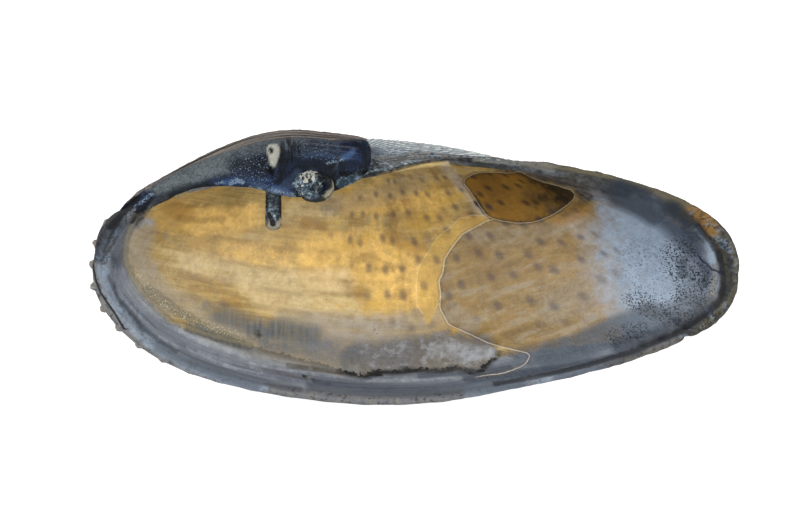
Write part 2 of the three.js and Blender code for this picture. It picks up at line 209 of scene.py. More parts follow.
STAINS = {
    # A grey veil over the amber.
    "haze": [
        (0.9, 0.5, 1.6, 141, 228, 136, 255, 148, 284, 168, 304), (0.7, 0.6, 1.2, 170, 300, 200, 312),
        (0.8, 0.9, 1.8, 290, 330, 350, 338, 410, 334, 430, 330), (0.4, 0.3, 1.4, 470, 236, 520, 236, 560, 228),
        (0.5, 0.5, 1.0, 452, 312, 470, 326), (0.7, 0.3, 0.5, 416, 314, 424, 326),
        (0.5, 0.4, 1.2, 330, 205, 372, 198, 420, 180), (1.3, 0.9, 0.9, 210, 328, 250, 341, 300, 352, 350, 362),
        (0.8, 0.8, 1.2, 320, 350, 360, 356, 400, 352), (0.5, 0.8, 1.8, 556, 308, 590, 290, 600, 262, 592, 236),
    ],
    "gold": [
        (1.0, 0.7, 1.4, 165, 214, 190, 222, 240, 222), (0.9, 1.1, 1.8, 330, 250, 380, 262, 414, 262),
        (0.9, 0.6, 1.3, 350, 205, 400, 200, 440, 196), (0.8, 0.9, 1.5, 370, 292, 414, 300),
        (0.7, 0.6, 1.3, 520, 275, 545, 262), (0.6, 0.6, 1.3, 200, 250, 250, 252, 300, 236),
        (0.6, 0.6, 1.0, 560, 250, 580, 262), (0.8, 0.5, 1.0, 400, 225, 440, 214),
        (0.9, 0.25, 0.5, 428, 314, 446, 330, 478, 345),
    ],
    # Painted pools of light: bright yellow patches where the hollow is lit.
    "painted_light_pool": [
        (1.0, 1.4, 2.4, 322, 262, 372, 258, 404, 278), (0.8, 0.5, 1.2, 420, 262, 424, 296),
        (0.7, 0.5, 1.4, 196, 222, 250, 216), (0.7, 0.4, 1.0, 352, 205, 404, 202, 440, 198),
        (0.5, 0.5, 1.2, 230, 250, 300, 262),
    ],
    "olive": [
        (1.0, 0.12, 0.3, 560, 167.5, 600, 174, 640, 185, 672, 197, 690, 206),
        (0.8, 0.12, 0.4, 560, 175, 600, 183, 634, 190), (0.5, 0.25, 0.5, 694, 210, 708, 222, 720, 238, 728, 254),
        (0.8, 0.2, 0.5, 716, 244, 722, 256, 724, 280), (0.8, 0.4, 0.5, 722, 306, 704, 320, 684, 326),
        (0.7, 0.15, 0.3, 690, 338, 660, 349, 620, 362), (0.7, 0.2, 0.4, 736, 262, 738, 284, 731, 302),
    ],
    "sand": [(1.0, 0.15, 0.5, 134, 272, 149, 292, 168, 307, 192, 320, 216, 329, 240, 337)],
    "cream": [
        (0.9, 0.6, 1.4, 250, 282, 300, 284, 340, 282), (0.7, 0.5, 1.3, 262, 300, 310, 306, 350, 312),
        (0.6, 0.5, 1.3, 190, 262, 240, 272), (0.6, 0.3, 0.8, 292, 208, 330, 214),
    ],
    "rust": [
        (0.7, 0.4, 0.9, 170, 206, 186, 214), (0.6, 0.25, 0.6, 306, 222, 322, 224),
        (0.6, 0.3, 0.6, 225, 302, 236, 304), (0.8, 0.4, 0.9, 548, 212, 566, 216, 580, 210),
        (1.3, 0.3, 0.6, 692, 208, 704, 219, 712, 230), (0.6, 0.3, 0.8, 388, 236, 420, 250),
    ],
    "mauve": [
        (0.55, 0.2, 0.6, 446, 168, 456, 178, 468, 192, 479, 206, 485, 214),
        (0.5, 0.2, 2.4, 602, 228, 610, 256, 606, 304), (0.5, 0.4, 1.3, 574, 222, 596, 236),
        (0.45, 0.2, 1.7, 310, 322, 360, 326, 400, 322), (0.7, 0.8, 1.4, 320, 342, 400, 350),
    ],
    "stripes": [
        (0.72, 0.04, 0.43, 172, 206, 190, 204.5, 214, 205.5, 246, 203),
        (0.8, 0.09, 0.45, 178, 218, 193, 220, 210, 220.5, 222, 219),
        (0.72, 0.04, 0.41, 214, 237, 232, 240, 256, 243.5),
        (0.64, 0.07, 0.45, 262, 247.5, 284, 249, 304, 249, 340, 252),
        (0.56, 0.03, 0.41, 220, 261, 240, 263, 262, 268, 290, 270, 312, 269),
        (0.64, 0.05, 0.43, 180, 271, 205, 279, 230, 285),
        (0.56, 0.04, 0.43, 248, 286, 270, 290.5, 300, 294, 334, 294, 360, 296),
        (0.64, 0.06, 0.47, 184, 293, 205, 300, 226, 306), (0.56, 0.05, 0.45, 246, 304, 274, 310, 304, 314, 352, 316),
        (0.48, 0.04, 0.41, 196, 229, 226, 229, 262, 232), (0.48, 0.04, 0.47, 300, 226, 330, 229, 362, 228),
        (0.56, 0.05, 0.47, 308, 209, 340, 207, 372, 201), (0.48, 0.05, 0.45, 330, 266, 360, 270, 392, 270),
        (0.48, 0.04, 0.41, 310, 279, 350, 281, 396, 283),
    ],
    "brown": [
        (0.4, 0.1, 0.5, 503, 335, 524, 331, 546, 325), (0.7, 0.2, 0.6, 550, 208, 566, 213, 578, 206),
        (0.4, 0.2, 0.6, 444, 328, 460, 337, 478, 343), (0.8, 0.15, 0.35, 498, 354, 508, 353, 518, 356),
        (0.8, 0.12, 0.3, 186, 330, 214, 339, 250, 348), (0.35, 0.2, 0.6, 560, 342, 600, 330),
        (0.6, 0.06, 0.25, 262, 369, 300, 378, 330, 384), (0.9, 0.12, 0.3, 288, 366, 320, 370, 352, 375),
        (0.9, 0.25, 0.3, 714, 304, 706, 313, 693, 321), (1.0, 0.2, 0.25, 112, 220, 104, 230, 98, 242, 94, 256),
        (0.7, 0.4, 0.5, 646, 310, 664, 316, 680, 318), (0.6, 0.25, 0.4, 614, 336, 634, 333),
    ],
    "ochre": [
        (1.0, 0.3, 0.5, 148, 290, 170, 307, 192, 321, 214, 333, 240, 343),
        (0.5, 0.4, 0.8, 256, 344, 310, 358, 360, 368),
        (0.8, 0.18, 0.2, 440, 158.5, 480, 161.5, 520, 165, 560, 171, 600, 178),
        (0.7, 0.25, 0.5, 640, 187, 676, 202, 690, 210),
    ],
    "pale_blue": [
        (1.0, 1.8, 2.4, 632, 226, 652, 254, 650, 296), (0.8, 0.8, 1.5, 668, 262, 676, 286),
        (0.8, 0.5, 1.0, 606, 210, 630, 222, 650, 236), (1.3, 0.16, 0.3, 694, 228, 703, 239, 709, 250, 712.5, 261),
        (1.1, 0.08, 0.35, 652.5, 199, 657, 214, 662, 230), (0.8, 0.15, 0.5, 606, 202, 626, 218, 650, 236),
        (0.45, 0.3, 1.3, 606, 250, 606, 294),
        (0.7, 0.2, 0.7, 103, 270, 112, 296, 130, 324, 154, 346, 188, 365, 226, 379, 262, 388),
        (0.5, 0.1, 0.4, 137, 226, 145, 221, 152, 222), (0.6, 0.4, 0.6, 470, 392, 540, 382, 600, 372),
    ],
    "silver": [
        (0.9, 0.2, 0.25, 181, 331, 199, 339, 220, 347, 246, 356), (1.2, 0.12, 0.15, 159, 338, 166, 342),
        (0.8, 0.1, 0.16, 173, 345, 178, 348), (0.9, 0.03, 0.2, 186, 349, 206, 358, 234, 367.5, 262, 373),
        (0.7, 0.06, 0.25, 250, 364, 309, 373, 369, 380.5, 428, 380, 487, 376, 526, 366),
        (0.6, 0.05, 0.25, 150, 356, 190, 376, 240, 389), (0.6, 0.02, 0.12, 484, 376.5, 462, 378, 430, 379.5),
        (0.7, 0.05, 0.2, 620, 358, 560, 371, 500, 383, 440, 390), (1.0, 0.35, 0.6, 464, 356, 488, 352),
        (0.7, 0.5, 0.9, 436, 352, 466, 352), (0.9, 0.1, 0.12, 308, 380, 312, 382),
        (0.5, 0.0, 0.08, 522, 168, 560, 173, 600, 180), (0.9, 0.05, 0.12, 114, 238, 110, 246, 104, 251, 101, 257),
        (0.6, 0.3, 0.4, 140, 199, 150, 194),
    ],
    "teal": [
        (1.0, 0.2, 0.3, 452, 162.5, 480, 166, 516, 169), (0.8, 0.25, 0.6, 522, 171, 552, 178, 584, 186),
        (0.9, 0.3, 0.7, 584, 181, 606, 187, 626, 192), (0.8, 0.15, 0.35, 556, 172, 580, 177, 620, 184, 650, 192),
        (0.9, 0.3, 0.7, 580, 190, 586, 198), (0.8, 0.3, 1.1, 672, 208, 688, 222, 700, 236),
        (0.8, 0.22, 0.3, 722, 244, 729, 262, 729, 286, 722, 300), (0.9, 0.3, 0.6, 146, 206, 141, 214, 136, 222),
    ],
    "navy": [
        (1.0, 0.3, 1.6, 664, 218, 680, 232, 694, 248), (1.4, 0.4, 1.5, 620, 194, 640, 203, 656, 213),
        (0.8, 0.4, 0.9, 610, 190, 640, 200, 672, 212), (0.6, 0.12, 0.4, 250, 379, 280, 387, 300, 390),
        (0.7, 0.2, 0.8, 312, 385, 360, 389, 400, 391, 440, 391, 480, 388, 520, 383),
        (0.8, 0.22, 0.4, 467, 379, 520, 374, 560, 370, 600, 361, 640, 351), (0.6, 0.3, 0.5, 560, 380, 620, 364),
        (0.9, 0.4, 0.8, 118, 222, 107, 238, 99, 254), (0.7, 0.2, 0.9, 126, 226, 118, 246, 118, 262),
        (0.8, 0.3, 0.3, 683, 262, 683, 274), (0.45, 0.08, 0.4, 112, 280, 119, 299, 132, 314, 150, 332),
        (0.6, 0.3, 0.6, 190, 362, 226, 376, 256, 384), (0.8, 0.2, 0.4, 702, 262, 707, 272, 704, 284),
        (0.9, 0.4, 0.8, 620, 347, 652, 338, 690, 322, 708, 304), (0.5, 0.4, 0.6, 160, 346, 186, 360),
        (0.7, 0.15, 0.3, 420, 376, 480, 371, 510, 368),
    ],
    "slate": [
        (0.85, 0.15, 1.7, 220, 314, 238, 321, 260, 329), (0.5, 0.1, 0.8, 206, 306, 226, 312, 250, 322),
        (0.95, 0.2, 1.5, 252, 329, 284, 330, 312, 336), (0.4, 0.4, 1.5, 270, 340, 310, 344, 350, 350),
        (0.6, 0.1, 0.6, 190, 326, 222, 340, 250, 350), (0.6, 0.2, 0.9, 516, 366, 560, 356),
        (0.8, 0.1, 1.1, 520, 355, 560, 349, 600, 344, 636, 340, 664, 330, 694, 308),
        (1.1, 0.8, 0.9, 548, 356, 574, 349, 600, 338, 626, 326, 650, 316), (0.9, 0.7, 1.0, 664, 322, 692, 304),
        (0.5, 0.8, 1.2, 690, 296, 700, 276),
    ],
    # Black marks, partly painted shadow: in the gap under the flaked layer's edge, in a pit and a groove at the
    # front, and along the step inside the rear rim.
    "black_and_shadow": [
        (1.8, 0.35, 0.5, 112, 223, 119, 212, 129, 203), (0.7, 0.1, 0.3, 96, 246, 102, 232, 110, 221),
        (0.7, 0.08, 0.5, 257, 334, 258, 336),
        (1.0, 0.14, 0.2, 362, 178, 380, 173.5, 404, 167, 424, 162, 447, 158.5, 470, 160),
        (1.0, 0.1, 0.1, 302, 376, 305, 376.5), (0.9, 0.2, 0.4, 718, 252, 723, 270, 723, 290, 717, 303),
        (0.8, 0.1, 0.3, 706, 315, 690, 325, 672, 334, 640, 346),
        (0.9, 0.1, 0.2, 152, 198, 146, 206, 139, 213, 132, 223),
        (1.0, 0.15, 0.25, 364, 375, 372, 374, 379, 374.5, 385, 371.5, 393, 372.5, 402, 370, 420, 370),
        (1.0, 0.1, 0.22, 420, 371, 440, 371, 458, 368, 470, 372, 482, 371),
        (0.9, 0.04, 0.2, 482, 370, 490, 362, 498, 357), (0.9, 0.05, 0.2, 476, 196, 481, 206, 486, 213),
        (1.0, 0.12, 0.2, 476, 202, 480, 205), (0.7, 0.03, 0.2, 118, 236, 113, 246, 106, 254, 101, 262),
        (0.9, 0.06, 0.2, 138, 199, 131, 207, 124, 214, 117, 224, 110, 238, 104, 252),
        (0.65, 0.05, 0.35, 110, 247, 115, 261, 112, 277, 118, 298, 130, 315, 142, 330),
    ],
    "crinkled": [
        (1.0, 0.9, 0.6, 97, 256, 104, 238, 114, 220, 128, 207, 146, 199),
        (0.9, 0.5, 0.5, 696, 212, 720, 240, 731, 270, 728, 300, 708, 318, 684, 332),
        (0.5, 0.5, 0.6, 106, 272, 124, 306, 156, 340),
    ],
    "specks": [
        (1.0, 1.0, 2.4, 680, 256, 696, 285, 684, 310), (0.65, 1.6, 2.6, 640, 262, 650, 296),
        (1.0, 0.8, 1.0, 636, 300, 654, 310, 680, 316), (1.0, 0.5, 0.8, 672, 254, 678, 276, 690, 262, 686, 252),
        (0.9, 0.5, 0.9, 614, 336, 642, 330), (0.4, 0.6, 1.4, 380, 330, 410, 350, 450, 356),
    ],
    "layer": [(1.25, 1.0, 1.7, 356, 364, 400, 359, 440, 353, 478, 354), (0.6, 0.8, 1.2, 270, 348, 330, 356)],
    "dots": [
        (1.0, 4.4, 2.0, 476, 262, 556, 268), (1.0, 2.8, 2.0, 380, 230, 415, 292), (1.0, 1.8, 1.6, 390, 200, 450, 196),
        (0.8, 1.0, 1.5, 345, 224, 370, 270, 376, 296), (0.8, 0.9, 1.4, 606, 236, 608, 290),
    ],
}

# These soaked in, so their edges are soft, and so are the painted pools of light; the others lie on the surface and
# break up, and so does the painted shadow among the black marks.
SOFT_STAINS = ("haze", "gold", "painted_light_pool", "cream", "mauve", "pale_blue", "slate", "navy", "rust", "stripes", "sand")

# How far a drawn line reaches past the end of its stroke: half width and soft edge in mm.
LINE_REACH = (0.3, 0.2)
# Height in mm of the flaked layer's edge.
LAYER_STEP = 0.22
# Low bumps and pits on the inside, in the same form, with strengths in mm.
HOLLOW_BUMPS = [
    (0.1, 0.25, 0.4, 136, 200, 144, 204), (0.08, 0.15, 0.3, 112, 240, 103, 254),
    (0.06, 0.1, 0.2, 181, 331, 220, 347, 246, 356), (-0.2, 0.1, 0.15, 302, 376, 305, 376.5),
    (-0.12, 0.12, 0.2, 152, 198, 146, 206, 139, 213, 132, 223), (-0.12, 0.2, 0.5, 138, 216, 150, 206),
]

# ---- Soft marks on the fold, in the same form ----

FOLD_MARKS = {
    "grey": [
        (1.15, 0.4, 1.3, 158, 184, 196, 171, 230, 160, 242, 156), (0.7, 0.3, 1.0, 236, 154, 262, 146, 300, 140),
        (0.8, 0.15, 0.4, 150, 212, 156, 203, 166, 197),
    ],
    "upper": [(0.8, 0.5, 0.8, 290, 148, 320, 148, 346, 152)],
    # Painted shade: near black in the fold's hollows, under its lip, round the knob and in the pocket at its rear
    # end.
    "deep": [
        (0.9, 0.15, 0.8, 156, 203, 184, 191, 210, 187), (0.9, 0.6, 0.7, 240, 168, 262, 168),
        (1.0, 0.25, 0.4, 280, 152, 284, 168, 278, 180), (1.0, 0.35, 0.4, 290, 178, 300, 168, 314, 162, 330, 166),
        (1.0, 0.3, 0.3, 322, 170, 331, 174, 336, 181, 336, 190),
        (0.9, 0.05, 0.9, 358, 148, 366, 154, 368, 162, 362, 170), (0.85, 0.12, 0.6, 344, 147, 354, 146, 362, 149),
        (0.8, 0.3, 0.5, 287, 156, 296, 166), (1.0, 0.5, 0.5, 116, 214, 124, 205, 133, 199),
        (0.9, 0.15, 0.2, 342, 174, 366, 173), (0.9, 0.1, 0.2, 152, 199, 146, 206, 138, 214),
        (0.8, 0.3, 0.4, 344, 166, 356, 166),
    ],
    # Painted blue glints on the strip under the lip and in the rear pocket.
    "painted_blue_glint": [
        (0.75, 0.12, 0.35, 344, 158, 349, 156, 353, 152), (0.6, 0.2, 0.3, 274, 189, 286, 192),
        (0.5, 0.2, 0.3, 226, 184, 236, 181),
    ],
    # Blue stain, partly painted reflection: the bluish shine on the strip under the lip and in the pocket at the rear
    # end.
    "blue": [
        (1.0, 0.9, 0.8, 276, 186, 288, 178, 294, 174), (0.8, 0.5, 0.6, 262, 186, 250, 180),
        (0.9, 0.3, 0.4, 214, 184, 236, 182, 254, 182), (1.0, 0.5, 0.5, 346, 150, 356, 154, 352, 164),
        (0.8, 0.3, 0.4, 255, 172, 262, 180), (0.7, 0.3, 0.4, 306, 160, 330, 160), (0.5, 0.2, 0.3, 142, 200, 152, 194),
    ],
    "sheen": [
        (0.8, 0.15, 0.6, 282, 190, 290, 182, 298, 174), (0.5, 0.05, 0.4, 304, 156, 318, 155, 334, 157),
        (0.7, 0.12, 0.4, 256, 186, 270, 190, 290, 194), (0.4, 0.2, 0.6, 236, 172, 250, 178),
    ],
    # Pale marks, partly painted glints: the flecks on the strip under the lip and along the rear end.
    "pale_lip_and_glints": [
        (0.6, 0.05, 0.2, 216, 184, 222, 182, 227, 183), (0.95, 0.1, 0.25, 231, 184, 237, 180.5, 243, 182.5),
        (0.8, 0.12, 0.5, 270, 192, 284, 195, 296, 197), (0.7, 0.06, 0.3, 250, 188, 262, 190),
        (1.0, 0.08, 0.15, 328, 164, 331, 163.3), (1.0, 0.1, 0.15, 334, 162, 337, 162.3),
        (0.9, 0.08, 0.15, 340, 161, 343, 160), (1.0, 0.06, 0.12, 342, 177.5, 347, 178.5),
        (0.9, 0.05, 0.1, 349, 176, 349.6, 176), (0.9, 0.05, 0.1, 356, 175, 357, 174.8),
        (0.9, 0.04, 0.1, 361, 174, 361.5, 174), (0.6, 0.1, 0.2, 350, 186, 358, 182),
        (0.6, 0.12, 0.2, 136, 206, 146, 200, 152, 194),
    ],
    "speckled": [
        (1.0, 0.9, 0.7, 240, 164, 258, 168, 262, 176), (0.8, 0.6, 0.7, 306, 148, 330, 152),
        (0.7, 0.2, 0.3, 344, 175, 364, 173),
    ],
    "striped": [(1.0, 0.8, 0.6, 290, 150, 286, 176)],
    "edge_lined": [(0.9, 0.5, 0.5, 312, 142, 332, 145, 350, 152)],
    "lobe": [(1.0, 0.45, 0.25, 343, 184, 352, 181.5, 360, 177.5)],
    # Pits, which the relief cuts too, with painted shade in them.
    "shaded_pit": [
        (1.0, 0.14, 0.12, 271, 150.5, 272, 151.5), (1.0, 0.12, 0.2, 271, 169, 273, 174),
        (0.9, 0.1, 0.15, 341, 174, 350, 174.5, 366, 172.5),
    ],
}

# Nodules near the front end of the fold, in the same form.
FOLD_NODULES = (1.0, 0.7, 0.6, 136, 206, 150, 196)
CHALK_WEDGE = seen(
    267, 147.5, 270, 145, 276, 144.5, 280, 147, 280.5, 152, 279, 158, 277, 164, 275, 168, 272, 168.5, 270, 164,
    269, 158, 267.5, 153,
)

# ---- Soft marks on the hinge tooth, its knob and the finger, in the same form ----

TOOTH_MARKS = {
    # Partly dark stain on the finger, partly painted shadow: the crescent under the spoon's rim, the gaps and pores
    # round the knob, and the hole near the finger's tip.
    "dark": [
        (0.95, 0.12, 0.3, 266.5, 196, 266.5, 206), (0.7, 0.06, 0.2, 266.5, 206, 266.5, 224),
        (1.1, 0.16, 0.3, 281.5, 196, 281, 206, 282, 214), (0.7, 0.2, 0.4, 275, 196, 274, 204),
        (1.8, 0.15, 0.15, 272.6, 222, 273, 224), (1.3, 0.1, 0.18, 269, 214, 270.5, 217.5),
        (0.8, 0.05, 0.15, 279, 210, 277.5, 215, 278, 220),
        (0.8, 0.04, 0.08, 265.6, 223, 267.4, 229, 270.5, 231.8, 276, 231.5, 280, 228, 282.2, 224),
        (1.0, 0.22, 0.3, 322, 172, 328, 179, 329, 186), (0.9, 0.15, 0.2, 320, 174, 321, 180),
        (1.0, 0.2, 0.2, 298, 198, 306, 202, 314, 203, 323, 200), (0.9, 0.12, 0.25, 292, 180, 298, 172, 306, 167),
        (1.0, 0.06, 0.08, 306.5, 176, 307.5, 178), (1.0, 0.07, 0.1, 309.5, 180.5, 311.5, 181.6),
        (0.7, 0.1, 0.2, 314, 186, 322, 190),
    ],
    "chalk": [
        (1.0, 0.22, 0.3, 304.5, 176, 308, 173, 311, 172), (0.95, 0.18, 0.3, 306, 181, 311, 179, 315, 174),
        (0.7, 0.05, 0.12, 297, 189, 303, 186), (0.7, 0.05, 0.12, 317, 188, 322, 183),
        (0.6, 0.08, 0.15, 296, 194, 306, 196), (0.25, 0.12, 0.3, 273, 200, 275, 210, 277, 218),
    ],
    "tan": [
        (1.2, 0.1, 0.12, 335, 178, 333.5, 185, 330, 192, 324, 198),
        (0.75, 0.2, 0.3, 268, 224.5, 269.5, 228, 273.5, 230, 278, 227.5, 281, 222),
    ],
}


def srgb(value):
    """Linear colour from an sRGB hex value."""
    parts = [int(value[i:i + 2], 16) / 255 for i in (1, 3, 5)]
    return tuple(c / 12.92 if c <= 0.04045 else ((c + 0.055) / 1.055) ** 2.4 for c in parts) + (1.0,)


def add(tree, kind, inputs=None, out=0, **settings):
    """Adds one node with its settings, links or sets its inputs, and gives back one of its outputs."""
    node = tree.nodes.new("ShaderNode" + kind)
    for name, value in settings.items():
        setattr(node, name, value)
    for key, value in (inputs or {}).items():
        if isinstance(value, bpy.types.NodeSocket):
            tree.links.new(value, node.inputs[key])
        else:
            node.inputs[key].default_value = value
    return node.outputs[out] if len(node.outputs) else None


# ---- Growth of the valve ----


def margin_plane(x, y):
    """Height of the plane that the margin lies in."""
    return (y - BEAK[1]) * FALL_SIDE - (x - BEAK[0]) * FALL_END


def closed_curve(points, u):
    """A smooth closed curve through the points, at each u from 0 to 1."""
    points = np.asarray(points, float)
    count = len(points)
    at = (np.asarray(u) % 1.0) * count
    index = np.floor(at).astype(int)
    w = (at - index)[:, None]
    p0, p1, p2, p3 = (points[(index + k) % count] for k in (-1, 0, 1, 2))
    d0, d1, d2 = (
        np.maximum(np.sum((b - a) ** 2, axis=1, keepdims=True) ** 0.25, 1e-4)
        for a, b in ((p0, p1), (p1, p2), (p2, p3))
    )
    t1 = ((p1 - p0) / d0 - (p2 - p0) / (d0 + d1) + (p2 - p1) / d1) * d1
    t2 = ((p2 - p1) / d1 - (p3 - p1) / (d1 + d2) + (p3 - p2) / d2) * d1
    return p1 + t1 * w + (3 * (p2 - p1) - 2 * t1 - t2) * w**2 + (2 * (p1 - p2) + t1 + t2) * w**3


def margin(u):
    """Points of today's margin."""
    return closed_curve([(x, y, margin_plane(x, y)) for x, y in MARGIN], u)


def coiled(points, stage):
    """Where points of today's margin were at a growth stage from 0 to 1."""
    axis = np.array([1.0, 0.0, -FALL_END])
    axis /= np.linalg.norm(axis)
    turn = COIL_TURN * (1 - stage**COIL_POWER)
    arm = points - BEAK
    along = (arm @ axis)[:, None] * axis
    turned = (arm - along) * math.cos(turn) + np.cross(axis, arm) * math.sin(turn) + along
    return turned * stage + BEAK


def sweep_share(u):
    """How far round from rear (0) to front (1) a margin point lies, seen from the beak."""
    p = margin(u)
    return np.arctan2(BEAK[1] - p[:, 1], p[:, 0] - BEAK[0]) / math.pi


def rib_number(u):
    """Rib number at points of the margin, counted from the rear. Crests lie halfway between numbers."""
    share = sweep_share(u)
    extra = RIBS_EXTRA * np.maximum(0, share - EXTRA_FROM) ** 2
    return RIBS_BY_ANGLE * share + RIBS_BY_LENGTH * u / FRONT_END + extra


def grid_normals(points):
    """Outward normals of rows and columns of points that close on themselves sideways."""
    along = np.roll(points[:, :-1], -1, axis=1) - np.roll(points[:, :-1], 1, axis=1)
    along = np.concatenate([along, along[:, :1]], axis=1)
    across = np.gradient(points, axis=0)
    normal = np.cross(across, along)
    return normal / np.maximum(np.linalg.norm(normal, axis=2, keepdims=True), 1e-9)


# ---- Distances and strokes on the shell, seen from above ----


def distance_to_line(xy, points, closed=False):
    """Distance in mm from each place to a line."""
    line = np.asarray(points, float)
    ends = np.roll(line, -1, axis=0) if closed else line[1:]
    starts = line if closed else line[:-1]
    best = np.full(len(xy), 1e9)
    for a, b in zip(starts, ends):
        span = b - a
        t = np.clip((xy - a) @ span / max(span @ span, 1e-9), 0, 1)
        best = np.minimum(best, np.linalg.norm(xy - a - t[:, None] * span, axis=1))
    return best


def inside_outline(xy, points):
    """True for each place inside a closed outline."""
    line = np.asarray(points, float)
    inside = np.zeros(len(xy), bool)
    for a, b in zip(line, np.roll(line, -1, axis=0)):
        crosses = (a[1] > xy[:, 1]) != (b[1] > xy[:, 1])
        slope = (b[0] - a[0]) / (b[1] - a[1] if b[1] != a[1] else 1e-9)
        inside ^= crosses & (xy[:, 0] < a[0] + slope * (xy[:, 1] - a[1]))
    return inside


def depth_in_outline(xy, points):
    """Distance in mm into a closed outline, negative outside it."""
    return np.where(inside_outline(xy, points), 1, -1) * distance_to_line(xy, points, closed=True)


def side_of_line(xy, line, around):
    """Distance in mm from an open line, positive on the side that the points around close off."""
    return np.where(inside_outline(xy, line + around), 1, -1) * distance_to_line(xy, line)


def stroke_reach(distance, half_width, soft):
    """1 within a half width, falling softly to 0."""
    t = np.clip(1 - (distance - half_width) / soft, 0, 1)
    return t * t * (3 - 2 * t)


def rounded(points, steps=4):
    """A closed outline with its corners rounded."""
    count = len(points) * steps
    return closed_curve([(x, y, 0) for x, y in points], np.arange(count) / count)[:, :2]


def stroke_cover(xy, strokes):
    """How strongly soft strokes cover each place, from 0 to 1."""
    cover = np.zeros(len(xy))
    for strength, half_width, soft, *line in strokes:
        cover = np.maximum(cover, strength * stroke_reach(distance_to_line(xy, seen(*line)), half_width, soft))
    return cover


def store(mesh, name, values):
    """Keeps one number for each vertex, for the materials to read."""
    mesh.attributes.new(name, "FLOAT", "POINT").data.foreach_set("value", np.asarray(values, np.float32))


def rim_width(xy):
    """Width in mm of the worn rim: broad at the rear, narrow along the hinge side and the front."""
    rear = np.clip((xy[:, 0] - 16.0) / 7.0, 0, 1)
    belly = np.clip(-xy[:, 1] / 5.0, 0, 1)
    return 0.3 + 1.15 * rear**1.3 + 0.35 * belly * (1 - rear)


def hollow_marks(xy):
    """Distances in mm to the outlines and lines inside the valve."""
    rim = [tuple(p[:2]) for p in margin(np.arange(280) / 280)]
    from_rim = distance_to_line(xy - TO_PART[:2], rim, closed=True)
    # Lines fade out where their strokes end.
    drawn = (SINUS_LINE, STRIP_LINE[:-1], OUTER_GROOVE, FRONT_GROOVE, REAR_GROOVE, CRACK, FRONT_RIDGE)
    return {
        "rim": from_rim,
        "rim_share": from_rim / rim_width(xy),
        "field": depth_in_outline(xy, rounded(FIELD, 3)),
        "scar": depth_in_outline(xy, rounded(SCAR)),
        "sinus": depth_in_outline(xy, SINUS),
        "dorsal": depth_in_outline(xy, DORSAL_STRIP),
        "line_cover": np.maximum.reduce([stroke_reach(distance_to_line(xy, line), *LINE_REACH) for line in drawn]),
        "strip": depth_in_outline(xy, STRIP),
        "ragged": side_of_line(xy, RAGGED_SIDE, [(-40.0, 30.0)]),
        "front_ridge": side_of_line(xy, FRONT_RIDGE, seen(300, 250)),
        "outer_groove": side_of_line(xy, OUTER_GROOVE, seen(300, 300, 150, 200)),
        "front_groove": side_of_line(xy, FRONT_GROOVE, seen(300, 200, 150, 200)),
        "rear_groove": side_of_line(xy, REAR_GROOVE, seen(400, 300, 640, 200)),
        "crack": side_of_line(xy, CRACK, seen(721, 200, 699, 200)),
    }


def bump_up(distance, width):
    """A smooth bump over a line, 1 on it and near 0 a width away."""
    return np.exp(-((distance / width) ** 2))


def hollow_relief(xy):
    """Low relief of the inside in mm: ridges, grooves and the edge of the rough layer."""
    mark = hollow_marks(xy)
    relief = 0.07 * bump_up(mark["front_ridge"], 0.3)
    for name, depth, width in (
        ("outer_groove", 0.16, 0.16), ("front_groove", 0.12, 0.2), ("rear_groove", 0.2, 0.22), ("crack", 0.08, 0.15),
    ):
        relief -= depth * bump_up(mark[name], width)
    relief += 0.05 * bump_up(mark["sinus"], 0.16) * mark["line_cover"] + 0.05 * bump_up(mark["scar"], 0.16)
    for height, half_width, soft, *line in HOLLOW_BUMPS:
        relief += height * stroke_reach(distance_to_line(xy, seen(*line)), half_width, soft)
    layer_edge = np.clip(mark["ragged"] / 0.25 + 0.5, 0, 1)
    relief += LAYER_STEP * layer_edge * stroke_cover(xy, STAINS["layer"])
    # Growth lines run along the rim.
    rim_lines = np.sin(mark["rim"] * 4.4 + 0.8 * np.sin(xy[:, 0] * 0.35))
    relief += 0.025 * rim_lines * np.clip(2.6 - mark["rim"], 0, 1)
    return relief


# ---- Meshes ----


def mesh_from_grid(name, points, uv, materials, flags=None):
    """A closed mesh over rows and columns of points in mm, the last column on the first."""
    rows, columns = points.shape[:2]
    bm = bmesh.new()
    bmesh.ops.create_grid(bm, x_segments=columns - 1, y_segments=rows - 1, size=1.0)
    if len(bm.verts) != rows * columns:
        raise RuntimeError(f"{name}: the grid has {len(bm.verts)} points, not {rows * columns}")
    growth = bm.loops.layers.uv.new("growth")
    crest = bm.verts.layers.float.new("crest")
    spots = [(round((v.co.y + 1) / 2 * (rows - 1)), round((v.co.x + 1) / 2 * (columns - 1))) for v in bm.verts]
    for face in bm.faces:
        if flags is not None:
            face.material_index = int(flags[min(spots[loop.vert.index][0] for loop in face.loops)])
        for loop in face.loops:
            loop[growth].uv = uv[spots[loop.vert.index]][:2]
    placed = (points + TO_PART) * MM
    for vert, spot in zip(bm.verts, spots):
        vert.co = placed[spot]
        vert[crest] = uv[spot][2]
    bmesh.ops.remove_doubles(bm, verts=bm.verts, dist=1e-7)
    bmesh.ops.recalc_face_normals(bm, faces=bm.faces)
    return finished(name, bm, materials)


def finished(name, bm, materials):
    """Turns a bmesh into a smooth piece of the shell."""
    for face in bm.faces:
        face.smooth = True
    mesh = bpy.data.meshes.new(name)
    bm.to_mesh(mesh)
    bm.free()
    for material in materials:
        mesh.materials.append(material)
    piece = bpy.data.objects.new(name, mesh)
    bpy.context.scene.collection.objects.link(piece)
    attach(piece, BODY)
    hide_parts(NODE)
    return piece


def places_on(mesh):
    """Each vertex's place seen from above, in mm."""
    flat = np.empty(len(mesh.vertices) * 3)
    mesh.vertices.foreach_get("co", flat)
    return flat.reshape(-1, 3)[:, :2] / MM


